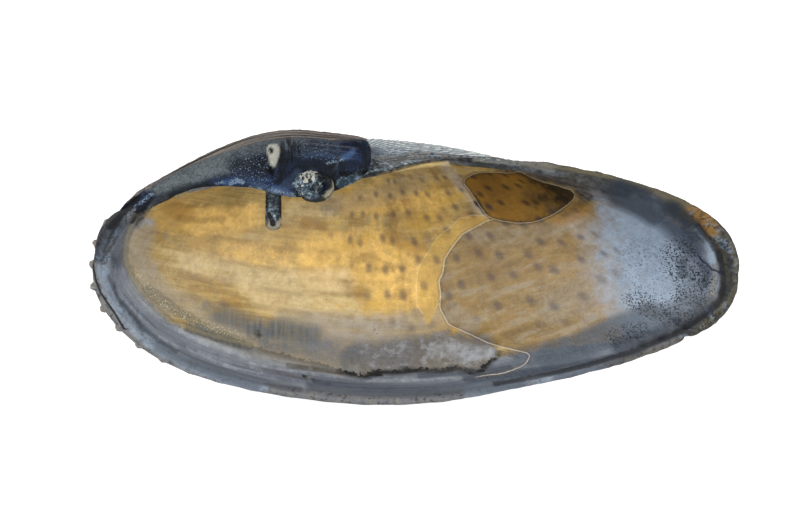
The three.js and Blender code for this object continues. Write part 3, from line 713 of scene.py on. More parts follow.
def under_hinge(mesh):
    """0 to 1 for each vertex: how far it lies where nothing is seen from above, such as below the fold.

    Its depth below the margin's plane in mm is kept on the mesh too.
    """
    flat = np.empty(len(mesh.vertices) * 3)
    mesh.vertices.foreach_get("co", flat)
    x, y, z = (flat.reshape(-1, 3) / MM - TO_PART).T
    depth = margin_plane(x, y) - z
    store(mesh, "depth", depth)
    outside = np.clip(0.3 - depth_in_outline(np.stack([x, y], axis=1) + TO_PART[:2], FIELD), 0, 1)
    hinge_side = np.clip((y - 2.0) / 2.0, 0, 1) * np.clip((9.0 - x) / 4.0, 0, 1)
    under = np.clip((depth - 1.0) / 0.8, 0, 1) * np.minimum(outside / 0.3, 1) * hinge_side
    return np.maximum(under, hidden_from_above(mesh) * np.clip((depth - 0.6) / 0.6, 0, 1))


def hidden_from_above(mesh):
    """1 for each vertex that has another part of the mesh above it, else 0."""
    tree = BVHTree.FromPolygons([v.co for v in mesh.vertices], [p.vertices for p in mesh.polygons])
    up = Vector((0, 0, 1))
    starts = [v.co + (v.normal + up) * 0.05 * MM for v in mesh.vertices]
    return np.array([tree.ray_cast(start, up)[0] is not None for start in starts], float)


def scale_stage(row):
    """Growth stage of a scale row's lip."""
    return OLDEST_STAGE + (1 - OLDEST_STAGE) * (row / SCALE_ROWS) ** ROW_POWER


def closed_at(row):
    """A row of points drawn together to its middle, which closes a tube."""
    return np.broadcast_to(row.mean(axis=1, keepdims=True), row.shape)


def margin_columns():
    """Where the valve's columns cross the margin: evenly by rib, then evenly along the hinge side."""
    fine = np.linspace(0, FRONT_END, 4001)
    numbers = rib_number(fine)
    count = int(round((numbers[-1] - numbers[0]) * COLUMNS_PER_RIB))
    ribbed = np.interp(np.linspace(numbers[0], numbers[-1], count + 1), numbers, fine)
    hinge = np.linspace(FRONT_END, 1.0, HINGE_COLUMNS + 1)[1:]
    return np.concatenate([ribbed, hinge])


def worn_edge(u, into, covered):
    """Today's margin with its nicks: it bulges where the fold's tip meets it, and lies lower under the fold."""
    edge = margin(u)
    place = u * len(MARGIN)
    worn = np.array([
        noise.noise(Vector((x * 0.9, y * 0.9, 3.3))) + 0.6 * noise.noise(Vector((x * 2.6, y * 2.6, 7.1)))
        for x, y, _ in edge
    ])
    edge += into * (0.1 * np.abs(worn) * np.clip((0.5 - sweep_share(u)) / 0.2, 0, 1))[:, None]
    edge -= into * np.interp(place, *zip(*MARGIN_PUSH))[:, None]
    edge += into * (0.3 * np.exp(-((edge[:, 0] - NOTCH_X) / 0.28) ** 2) * (edge[:, 1] < 0))[:, None]
    bulge = sum(height * bump_up(place - at, 0.5) for at, height in TIP_BULGES)
    edge -= into * bulge[:, None]
    edge[:, 2] -= 0.5 * covered
    return edge


def make_valve(sizes, materials):
    """The dish-shaped wall: ribs and rows of scales outside, the stained hollow inside."""
    u = margin_columns()
    smooth, share, place = margin(u), sweep_share(u), u * len(MARGIN)
    on_hinge = u > FRONT_END
    rib = np.where(on_hinge, HINGE_RIB + (u - FRONT_END) * HINGE_RIBS, rib_number(np.minimum(u, FRONT_END)))
    tangent = margin(u + 1e-4) - margin(u - 1e-4)
    tangent /= np.linalg.norm(tangent, axis=1, keepdims=True)
    plane_normal = np.array([FALL_END, -FALL_SIDE, 1.0])
    plane_normal /= np.linalg.norm(plane_normal)
    into = np.cross(tangent, plane_normal)
    covered = np.clip((place - FOLD_COVERS[0]) / 0.8, 0, 1) * np.clip((FOLD_COVERS[1] - place) / 0.6, 0, 1)
    edge = worn_edge(u, into, covered)

    def edge_at(stage):
        return smooth + (edge - smooth) * min(1.0, max(0.0, (stage - WEAR_FROM) / WEAR_OVER))

    rib_shape = np.exp(-(((rib % 1) - 0.5) / RIB_WIDTH) ** 2) * ~on_hinge
    dorsal = on_hinge * np.clip((place - BARE_FROM) / 0.5, 0, 1)
    front, rear = sizes.scale_height_front, sizes.scale_height_rear
    rib_height, scale_height = sizes.rib_height / MM, (rear + (front - rear) * share**1.5) / MM
    frill = np.clip((share - FRILL_FROM) / 0.12, 0.1, 1) * np.clip((FRILL_TO - share) / 0.04, 0.2, 1)
    frill_out = (0.45 + 0.55 * np.clip((share - 0.72) / 0.12, 0, 1)) * (share > 0.6)

    # Outside, from the beak to the margin. For each point, uv has its rib, its row of scales and how much it
    # is a crest; lift is how far it stands out, in mm.
    rows, uv, lift = [], [], []
    for k in range(SCALE_ROWS):
        youngest = k == SCALE_ROWS - 1
        wear = 0.82 + 0.18 * np.sin(np.floor(rib) * 12.9 + (k + 1) * 7.3)
        for g in SCALE_STEPS:
            stage = scale_stage(k + g * (0.72 if youngest else 1.0))
            raised = g**2 * wear * (frill * 1.1 if youngest else 1.0)
            height = rib_height * rib_shape * (frill if youngest else 1.0)
            height = height + scale_height * rib_shape * raised + 0.05 * g**2
            out = frill_out * rib_shape * g**2 * frill * wear if youngest else np.zeros_like(share)
            rows.append(coiled(edge_at(stage) - into * out[:, None], stage))
            lift.append(height * min(1, 1.6 * stage) * (0.4 if youngest else 1.0))
            crest = np.clip(0.35 * rib_shape + rib_shape * raised + dorsal * g**2, 0, 1)
            uv.append(np.stack([rib, np.full_like(rib, k + g), crest], axis=1))
    rows.append(coiled(edge, 1.0))
    lift.append(0.06 * rib_shape)
    uv.append(np.stack([rib, np.full_like(rib, SCALE_ROWS), rib_shape], axis=1))
    outer = np.array(rows)
    outer += grid_normals(outer) * np.array(lift)[:, :, None] * 0.97
    outer[:, :, 0] = np.maximum(outer[:, :, 0], FRONT_MOST)
    oldest = outer[:1].mean(axis=1, keepdims=True)
    cap = [oldest + (outer[:1] - oldest) * t for t in (0.0, 0.55)]

    # Inside, from the margin to the middle of the hollow, a wall's thickness farther in.
    walls, inner_uv = [], []
    edge_wall, wall = sizes.edge_wall / MM, sizes.wall / MM
    for k in range(HOLLOW_ROWS + 1):
        stage = 1 - (1 - HOLLOW_STAGE) * (k / HOLLOW_ROWS) ** 1.15
        thick = edge_wall + (wall - edge_wall) * min(1, (1 - stage) / 0.1)
        cut = thick * (1 + END_SLANT * into[:, 0] ** 2)
        walls.append(coiled(edge_at(stage) + into * (cut / stage)[:, None], stage))
        row = ((stage - OLDEST_STAGE) / (1 - OLDEST_STAGE)) ** (1 / ROW_POWER) * SCALE_ROWS
        inner_uv.append(np.stack([rib, np.full_like(rib, row), np.zeros_like(rib)], axis=1))
    inner = np.array(walls)
    flat = inner.reshape(-1, 3)[:, :2] + TO_PART[:2]
    relief = hollow_relief(flat).reshape(inner.shape[:2])
    near_rim = np.clip(np.arange(HOLLOW_ROWS + 1) / 3, 0, 1)[:, None]
    inner += grid_normals(inner) * (relief * near_rim)[:, :, None]

    # The rounded edge between them, and the hollow's floor drawn together to a point.
    rim = []
    for k in range(1, RIM_ROWS + 1):
        t = k / (RIM_ROWS + 1)
        swell = 0.13 * (1 - (2 * t - 1) ** 2) * (1 - covered)
        rim.append(outer[-1] * (1 - t) + inner[0] * t + swell[:, None] * plane_normal)
    middle = inner[-1:].mean(axis=1, keepdims=True)
    floor = [middle + (inner[-1:] - middle) * t for t in (0.5, 0.0)]

    points = np.concatenate([*cap, outer, np.array(rim), inner, *floor])
    youngest_uv = [uv[-1]] * RIM_ROWS
    uv = np.array([uv[0], uv[0], *uv, *youngest_uv, *inner_uv, inner_uv[-1], inner_uv[-1]])
    # From the edge on, faces take the inner layer.
    inside = np.arange(len(points)) >= len(cap) + len(outer) - 1
    piece = mesh_from_grid("valve_wall", points, uv, materials, inside)
    mesh = piece.data
    xy, under = places_on(mesh), under_hinge(mesh)
    marks = hollow_marks(xy)
    # Below the fold, which hides the hollow's wall, only the plain field is kept.
    marks["field"] = np.maximum(marks["field"], 3.0 * under - 0.6)
    marks["rim_share"] += 3.0 * under
    for name, values in marks.items():
        store(mesh, name, values if name in ("field", "rim", "rim_share") else values * (1 - under) - under)
    for name, strokes in STAINS.items():
        store(mesh, "stain_" + name, stroke_cover(xy, strokes) * (1 - under))
    return piece


def wedge_cover(xy):
    """How far each place lies on the chalky wedge, from 0 to 1."""
    return np.clip(depth_in_outline(xy, CHALK_WEDGE) / 0.12 + 0.4, 0, 1)


def fold_section(x, lip_y, edge_y, drop, raised):
    """Points round the plate at one x: under its lip, over its top to the free edge, and back below."""
    width = edge_y - lip_y
    lip_z = margin_plane(x, lip_y) + raised
    edge_z = margin_plane(x, edge_y) + raised
    thin = min(1.0, width / 2)

    def at(share, low):
        return x, lip_y + width * share, lip_z + (edge_z - lip_z) * share - low

    return [
        (x, lip_y + 0.3 * thin, lip_z - 0.95 * thin), (x, lip_y, lip_z - 0.4 * thin),
        at(0.06, 0), at(0.3, 0.8 * drop), at(0.6, drop), at(0.85, 0.6 * drop), at(0.96, 0),
        (x, edge_y, edge_z - 0.35 * thin),
        at(0.8, 0.6 * drop + 0.8 * thin), at(0.5, drop + 1.5 * thin), at(0.28, drop + 1.3 * thin),
    ]


def make_fold(materials):
    """The plate turned outwards over the beak, from its lip to its free edge."""
    t = np.arange(FOLD_SECTIONS + 1) / FOLD_SECTIONS
    first, last = FOLD_EDGE[0][0], FOLD_EDGE[-1][0]
    xs = first + (last - first) * (1 - np.cos(math.pi * t)) / 2
    edge, lip, dip, lift = (height_along(line, xs) for line in (FOLD_EDGE, FOLD_LIP, FOLD_DIP, FOLD_LIFT))
    # A section has 11 points. Its top, from the second to the eighth, takes 44 of the columns round it.
    top = np.linspace(1.0, 7.0, 44)
    below = np.linspace(7.0, 12.0, FOLD_ROUND - 42)[1:]
    turn = np.concatenate([top, below]) / 11.0
    rings, uv = [], []
    for x, lip_y, edge_y, drop, raised in zip(xs, lip, edge, dip, lift):
        ring = closed_curve(fold_section(x, lip_y, edge_y, drop, raised), turn)
        middle_y = (lip_y + edge_y) / 2
        middle = np.array([x, middle_y, margin_plane(x, middle_y) - 0.15])
        ring = middle + (ring - middle) * np.clip((x - FOLD_TIP) / 2.0, 0.1, 1) ** 0.6
        width = edge_y - lip_y
        across = np.clip((ring[:, 1] - lip_y) / width, 0, 1)
        # The band of growth lines along the free edge is broadest in the middle of the plate.
        band = (0.35 + 0.4 * np.clip((x + 21.0) / 5.0, 0, 1)) * (1 - 0.65 * np.clip((x + 7.4) / 3.2, 0, 1))
        rings.append(ring)
        uv.append(np.stack([np.full_like(across, x), (1 - across) * width, (1 - across) * width / band], axis=1))
    points, uv = np.array(rings), np.array(uv)
    xy = points.reshape(-1, 3)[:, :2] + TO_PART[:2]
    pits, striped, nodules = (
        stroke_cover(xy, strokes).reshape(points.shape[:2])
        for strokes in (FOLD_MARKS["shaded_pit"], FOLD_MARKS["striped"], [FOLD_NODULES])
    )
    chalk = wedge_cover(xy).reshape(points.shape[:2])
    on_top = (turn < 7.0 / 11.0)[None, :]
    from_edge = uv[:, :, 1]
    ridges = 0.025 * np.sin(from_edge * 22) * np.clip((1.0 - from_edge) / 0.3, 0, 1)
    ridges += 0.05 * striped * np.sin(points[:, :, 0] * 16 + points[:, :, 1] * 4)
    # Fine roughness, and the coarser noise of the nodules.
    rough = np.array([
        [0.05 * noise.noise(Vector(p) * 1.3) + 0.03 * noise.noise(Vector(p) * 3.7), noise.noise(Vector(p) * 2.6)]
        for p in points.reshape(-1, 3)
    ])
    nodules *= 0.16 * rough[:, 1].reshape(pits.shape)
    lifted = rough[:, 0].reshape(pits.shape) + (ridges + nodules - 0.35 * pits + 0.08 * chalk) * on_top - 0.05
    points += grid_normals(points) * lifted[:, :, None]
    first_end, last_end = closed_at(points[:1]), closed_at(points[-1:])
    points = np.concatenate([first_end, points, last_end])
    piece = mesh_from_grid("umbo_fold", points, np.concatenate([uv[:1], uv, uv[-1:]]), materials)
    store(piece.data, "wedge", wedge_cover(places_on(piece.data)))
    return marked(piece, FOLD_MARKS)


def height_along(points, xs):
    """A smooth curve y(x) through the points."""
    points = np.asarray(points, float)
    x, y = points[:, 0], points[:, 1]
    before = np.maximum(np.arange(len(x)) - 1, 0)
    after = np.minimum(np.arange(len(x)) + 1, len(x) - 1)
    slope = (y[after] - y[before]) / (x[after] - x[before])
    at = np.clip(xs, x[0], x[-1])
    i = np.clip(np.searchsorted(x, at) - 1, 0, len(x) - 2)
    width = x[i + 1] - x[i]
    t = (at - x[i]) / width
    rise = y[i + 1] - y[i]
    bend = (slope[i] * width - rise) * (1 - t) - (slope[i + 1] * width - rise) * t
    return y[i] + rise * t + bend * t * (1 - t)


def marked(piece, marks):
    """Keeps soft marks on a piece, for its material to read."""
    xy = places_on(piece.data)
    for name, strokes in marks.items():
        store(piece.data, "mark_" + name, stroke_cover(xy, strokes))
    return piece


def make_spoon(materials):
    """The hinge tooth: a thin-edged spoon hollowed from above."""
    centre, radii = SPOON
    (sx, sy, sz), scoop = SCOOP
    bm = bmesh.new()
    bmesh.ops.create_uvsphere(bm, u_segments=120, v_segments=90, radius=1.0)
    for vert in bm.verts:
        out = vert.co.copy()
        p = Vector(c + o * r for c, o, r in zip(centre, out, radii))
        rough = 0.05 * noise.noise(p * 2.2) + 0.025 * noise.noise(p * 6.0)
        away = math.hypot(p.x - sx, p.y - sy)
        if out.z > 0 and away < scoop:
            p.z = min(p.z, sz - math.sqrt(scoop**2 - away**2))
        p += out * (rough - 0.03)
        vert.co = (p + Vector(TO_PART)) * MM
    return marked(finished("hinge_spoon", bm, materials), TOOTH_MARKS)


def make_knob(materials):
    """The rough chalky knob in the spoon's front half."""
    centre, radii = KNOB
    bm = bmesh.new()
    bmesh.ops.create_icosphere(bm, subdivisions=6, radius=1.0)
    for vert in bm.verts:
        out = vert.co.copy()
        p = Vector(centre) + Vector(o * r for o, r in zip(out, radii))
        lumps = 0.34 * noise.noise(p * 1.1) + 0.14 * noise.noise(p * 3.1) + 0.05 * noise.noise(p * 8.0)
        pores = min(0.0, noise.noise(p * 3.4 + Vector((3.1, 7.7, 1.3))) + 0.28) * 0.5
        p += out * (lumps + pores - 0.16)
        p.z = min(p.z, KNOB_TOP)
        vert.co = (p + Vector(TO_PART)) * MM
    return marked(finished("hinge_knob", bm, materials), TOOTH_MARKS)


def make_finger(materials):
    """The flat finger that hangs from under the fold into the hollow."""
    a, b, c = (np.array((FINGER_X, *end)) for end in (FINGER_TOP, FINGER_MIDDLE, FINGER_TIP))
    mid = 2 * b - (a + c) / 2
    sideways = [1.0, 0, 0]
    angle = 2 * math.pi * np.arange(FINGER_SIDES + 1) / FINGER_SIDES
    rings, uv = [], []
    for t in np.arange(FINGER_ROWS + 1) / FINGER_ROWS:
        point = (1 - t) ** 2 * a + 2 * t * (1 - t) * mid + t**2 * c
        run = 2 * (1 - t) * (mid - a) + 2 * t * (c - mid)
        run /= np.linalg.norm(run)
        up = np.cross(sideways, run)
        tip = math.sqrt(max(0.0, 1 - max(0, (t - 0.88) / 0.12) ** 2))
        wide = FINGER_WIDTH * (0.94 + 0.06 * t) * tip / 2
        side = np.sign(np.cos(angle)) * np.abs(np.cos(angle)) ** 0.8 * wide
        thick = np.sin(angle) * FINGER_THICK * tip / 2
        # A small hole and a notch near the tip.
        hole = np.exp(-(((side + 0.1) / 0.17) ** 2 + ((t - 0.845) / 0.03) ** 2)) * (np.sin(angle) > 0)
        notch = np.exp(-(((side - wide) / 0.2) ** 2 + ((t - 0.85) / 0.018) ** 2))
        ring = point + np.outer(side, sideways) + np.outer(thick, up)
        rings.append(ring - np.outer(hole * 0.3, up) - np.outer(notch * 0.12, sideways))
        uv.append(np.stack([side, np.full_like(side, t), np.maximum(hole, notch)], axis=1))
    points = np.array(rings)
    rough = np.array([
        0.04 * noise.noise(Vector(p) * 2.1) + 0.03 * noise.noise(Vector(p) * 5.3) - 0.03
        for p in points.reshape(-1, 3)
    ]).reshape(points.shape[:2])
    rough[:, -1] = rough[:, 0]
    rough[-1] = 0
    points += grid_normals(points) * rough[:, :, None]
    points = np.concatenate([closed_at(points[:1]), points])
    piece = mesh_from_grid("foot_finger", points, np.array([uv[0], *uv]), materials)
    return marked(piece, TOOTH_MARKS)


# ---- Materials ----

ARAGONITE_IOR = 1.53
# Nearly all of a noise lies between these values.
NOISE_RANGE = {"From Min": 0.3, "From Max": 0.7}


def start_layer(name):
    """A new material with its nodes, and the place in mm for its patterns to read."""
    material = bpy.data.materials.new(name)
    material.use_nodes = True
    tree = material.node_tree
    tree.nodes.clear()
    place = add(tree, "TexCoord", out="Object")
    return material, tree, {"mm": add(tree, "VectorMath", {0: place, 3: 1 / MM}, operation="SCALE")}


def lay_patterns(tree, values, patterns):
    """Adds noises by name: the place read, a scale for 1 mm or one for each axis, detail and roughness."""
    for name, place, scale, detail, rough in patterns:
        vector = values[place]
        if isinstance(scale, tuple):
            vector = add(tree, "VectorMath", {0: vector, 1: (*scale, 1.0)}, operation="MULTIPLY")
            scale = 1.0
        values[name] = add(tree, "TexNoise", {"Vector": vector, "Scale": scale, "Detail": detail, "Roughness": rough})


def painted(tree, values, ground, paints):
    """Lays paints over a ground colour.

    A paint has its colour, its strength and the masks that it shows in. A mask is a name, or the name of a
    value with where the paint begins to show and where it is full.
    """
    colour = add(tree, "RGB")
    colour.default_value = srgb(ground)
    for paint, strength, *masks in paints:
        for mask in masks:
            if mask not in values:
                name, start, full = mask
                values[mask] = add(
                    tree, "MapRange", {"Value": values[name], "From Min": start, "From Max": full},
                    interpolation_type="SMOOTHSTEP",
                )
        share = values[masks[0]]
        for factor in [values[mask] for mask in masks[1:]] + [strength]:
            share = add(tree, "Math", {0: share, 1: factor}, operation="MULTIPLY")
        rgba = srgb(paint) if isinstance(paint, str) else (*paint, 1.0)
        colour = add(tree, "Mix", {0: share, 6: colour, 7: rgba}, out=2, data_type="RGBA")
    return colour


def finish_layer(tree, values, colour, shades, roughness, specular, height, bump, relief):
    """Ends a material: noises shade its colour, and its fine relief is as deep as relief says in mm."""
    for name, low, high in shades:
        shade = add(tree, "MapRange", {"Value": values[name], **NOISE_RANGE, "To Min": low, "To Max": high})
        colour = add(tree, "VectorMath", {0: colour, 3: shade}, operation="SCALE")
    normal = add(tree, "Bump", {"Strength": bump, "Distance": relief * MM, "Height": height})
    shader = add(tree, "BsdfPrincipled", {
        "Base Color": colour, "Roughness": roughness, "IOR": ARAGONITE_IOR, "Specular IOR Level": specular,
        "Normal": normal,
    })
    add(tree, "OutputMaterial", {"Surface": shader})


def inner_layer(colours):
    """Aragonite, the smooth inner layer, soaked with amber and blue-grey stains.

    It is half translucent to the eye, so marks have soft edges, and it shines softly where it isn't worn.
    """
    material, tree, values = start_layer("aragonite_inner_layer_stained_satin")
    x, y, _ = add(tree, "SeparateXYZ", {0: values["mm"]}).node.outputs
    growth = add(tree, "UVMap", uv_map="growth")
    rib = add(tree, "SeparateXYZ", {0: growth})
    rim, line_cover, layer_cover, ragged_far, density = (
        add(tree, "Attribute", out="Fac", attribute_name=name)
        for name in ("rim", "line_cover", "stain_layer", "ragged", "stain_specks")
    )

    # Stripes run along the belly: level = y - 0.0045 (x + 3)^2, in mm. In the sinus they rise to the rear:
    # slant = y - 0.36 x.
    from_middle = add(tree, "Math", {0: x, 1: 3.0}, operation="ADD")
    squared = add(tree, "Math", {0: from_middle, 1: from_middle}, operation="MULTIPLY")
    level = add(tree, "Math", {0: squared, 1: -0.0045, 2: y}, operation="MULTIPLY_ADD")
    slant = add(tree, "Math", {0: x, 1: -0.36, 2: y}, operation="MULTIPLY_ADD")
    values.update(
        x=x, y=y, growth=growth, layer_cover=layer_cover, ragged_far=ragged_far,
        along_rim=add(tree, "CombineXYZ", {0: rim, 1: rib}),
        levels=add(tree, "CombineXYZ", {0: x, 1: level}),
        slants=add(tree, "CombineXYZ", {0: x, 1: slant}),
    )
    lay_patterns(tree, values, (
        ("cloud", "mm", 0.3, 3.0, 0.55),  # stains 3 to 4 mm wide
        ("veil", "mm", 0.62, 4.0, 0.6),  # grey veils of about 1.5 mm
        ("mottle", "mm", 0.9, 5.0, 0.65),  # blotches of about 1 mm
        ("breaks", "mm", 2.2, 4.0, 0.65),  # broken edges, 0.4 mm
        ("grain", "mm", 7.0, 3.0, 0.7),  # chalky grain, 0.15 mm
        ("speck", "mm", 5.4, 2.0, 0.6),  # specks of 0.2 mm
        ("growth_lines", "along_rim", (3.2, 0.12), 4.0, 0.6),  # lines along the margin, 0.3 mm apart
        ("growth_bands", "along_rim", (0.9, 0.16), 4.0, 0.6),  # bands of about 1 mm
        ("fine_lines", "along_rim", (9.0, 0.25), 4.0, 0.6),  # threads along the margin, 0.1 mm apart
        ("dashes", "along_rim", (4.4, 6.5), 4.0, 0.6),  # worn scale edges behind the hinge, 0.2 mm by 0.5 mm
        ("row_streaks", "levels", (0.07, 0.62), 4.0, 0.6),  # stripes along the growth rows, 1.5 mm apart
        ("row_threads", "levels", (0.35, 3.4), 4.0, 0.6),  # fibres along the growth rows, 0.3 mm apart
        ("row_lines", "levels", (0.13, 1.05), 4.0, 0.6),  # darker rows, about 1 mm apart
        ("slant_streaks", "slants", (0.24, 0.9), 4.0, 0.6),  # streaks in the sinus, 1.1 mm apart
        ("upright", "levels", (3.4, 0.22), 4.0, 0.6),  # fibres across the slate patch, 0.3 mm apart
        ("rib_streaks", "growth", (1.1, 0.1), 4.0, 0.6),  # fainter streaks along the ribs
        ("cells", "growth", (0.9, 0.8), 4.0, 0.6),  # patches of about one rib by one growth row
    ))
    wander, soft_wander, wide_wander, veil_wander = (
        add(tree, "Math", {0: values[name], 1: 0.5}, operation="SUBTRACT")
        for name in ("breaks", "mottle", "cloud", "veil")
    )

    # Patches: name, where the paint begins and is full in mm from the outline, and raggedness.
    for name, start, full, ragged in (
        ("field", -0.2, 0.3, 1.3),
        ("scar", -0.03, 0.04, 0.3),
        ("sinus", -0.04, 0.06, 0.12),
        ("strip", -0.03, 0.06, 0.35),
        ("ragged", -0.05, 0.05, 1.6),
        ("rim_share", 1.15, 0.6, 0.9),
        ("dorsal", -0.1, 0.1, 0.3),
    ):
        distance = add(tree, "Attribute", out="Fac", attribute_name=name)
        uneven = add(tree, "Math", {0: wander, 1: ragged, 2: distance}, operation="MULTIPLY_ADD")
        values[name] = add(
            tree, "MapRange", {"Value": uneven, "From Min": start, "From Max": full}, interpolation_type="SMOOTHSTEP"
        )

    # Lines: name, distance read, half width in mm, soft edge and raggedness. All but the scar's end where their
    # strokes end.
    for name, attribute, half_width, soft, ragged in (
        ("sinus_line", "sinus", 0.0, 0.08, 0.15),
        ("sinus_shade", "sinus", 0.1, 0.2, 0.3),
        ("strip_line", "strip", 0.0, 0.08, 0.5),
        ("scar_line", "scar", 0.0, 0.06, 0.2),
        ("scar_shade", "scar", 0.1, 0.2, 0.3),
        ("outer_groove", "outer_groove", 0.05, 0.1, 0.25),
        ("front_groove", "front_groove", 0.08, 0.16, 0.3),
        ("rear_groove", "rear_groove", 0.14, 0.22, 0.4),
        ("crack", "crack", 0.05, 0.08, 0.3),
        ("front_ridge", "front_ridge", 0.03, 0.3, 0.6),
        ("front_ridge_shade", "front_ridge", 0.2, 0.3, 0.5),
    ):
        distance = add(tree, "Attribute", out="Fac", attribute_name=attribute)
        uneven = add(tree, "Math", {0: wander, 1: ragged, 2: distance}, operation="MULTIPLY_ADD")
        away = add(tree, "Math", {0: uneven}, operation="ABSOLUTE")
        near = add(
            tree, "MapRange", {"Value": away, "From Min": half_width + soft, "From Max": half_width},
            interpolation_type="SMOOTHSTEP",
        )
        in_stroke = 1.0 if attribute == "scar" else line_cover
        values[name] = add(tree, "Math", {0: near, 1: in_stroke}, operation="MULTIPLY")

    # Stains, and the painted light and shade among them: noise breaks up their edges, less for the soft ones, which
    # soaked in or are painted light.
    fine_wander = add(tree, "Math", {0: wander, 1: 1.1}, operation="MULTIPLY")
    both = add(tree, "Math", {0: soft_wander, 1: 1.7, 2: fine_wander}, operation="MULTIPLY_ADD")
    for name in STAINS:
        wandering, thinnest = (0.55, 0.0) if name in SOFT_STAINS else (1.0, 0.25)
        cover = add(tree, "Attribute", out="Fac", attribute_name="stain_" + name)
        uneven = add(tree, "Math", {0: both, 1: wandering, 2: cover}, operation="MULTIPLY_ADD")
        broken = add(tree, "MapRange", {"Value": uneven, "From Min": thinnest, "From Max": 1.05})
        near = add(
            tree, "MapRange", {"Value": cover, "From Min": 0.0, "From Max": 0.4}, interpolation_type="SMOOTHSTEP"
        )
        values["stain_" + name] = add(tree, "Math", {0: broken, 1: near}, operation="MULTIPLY")

    # Where the rear's colours begin, made ragged by noise.
    near_rear = add(tree, "Math", {0: wide_wander, 1: 5.0, 2: x}, operation="MULTIPLY_ADD")
    rearward = add(tree, "Math", {0: soft_wander, 1: 7.0, 2: near_rear}, operation="MULTIPLY_ADD")
    # A dark dot where a rib crosses a growth row, about 2 mm apart in the rear half.
    dot_place = add(tree, "VectorMath", {0: growth, 1: (1.45, 0.68, 1.0)}, operation="MULTIPLY")
    values.update(
        rearward=rearward,
        scar_at=add(tree, "Math", {0: y, 1: 0.5, 2: rearward}, operation="MULTIPLY_ADD"),
        vein_at=add(tree, "Math", {0: veil_wander}, operation="ABSOLUTE"),
        from_dot=add(
            tree, "TexVoronoi", {"Vector": dot_place, "Scale": 1.0, "Randomness": 0.5}, out="Distance",
            voronoi_dimensions="2D",
        ),
        speck_level=add(tree, "Math", {0: density, 1: 0.18, 2: values["speck"]}, operation="MULTIPLY_ADD"),
        below_layer=add(tree, "Math", {0: 1.0, 1: values["ragged"]}, operation="SUBTRACT"),
        layer=add(tree, "Math", {0: values["ragged"], 1: values["stain_layer"]}, operation="MULTIPLY"),
    )

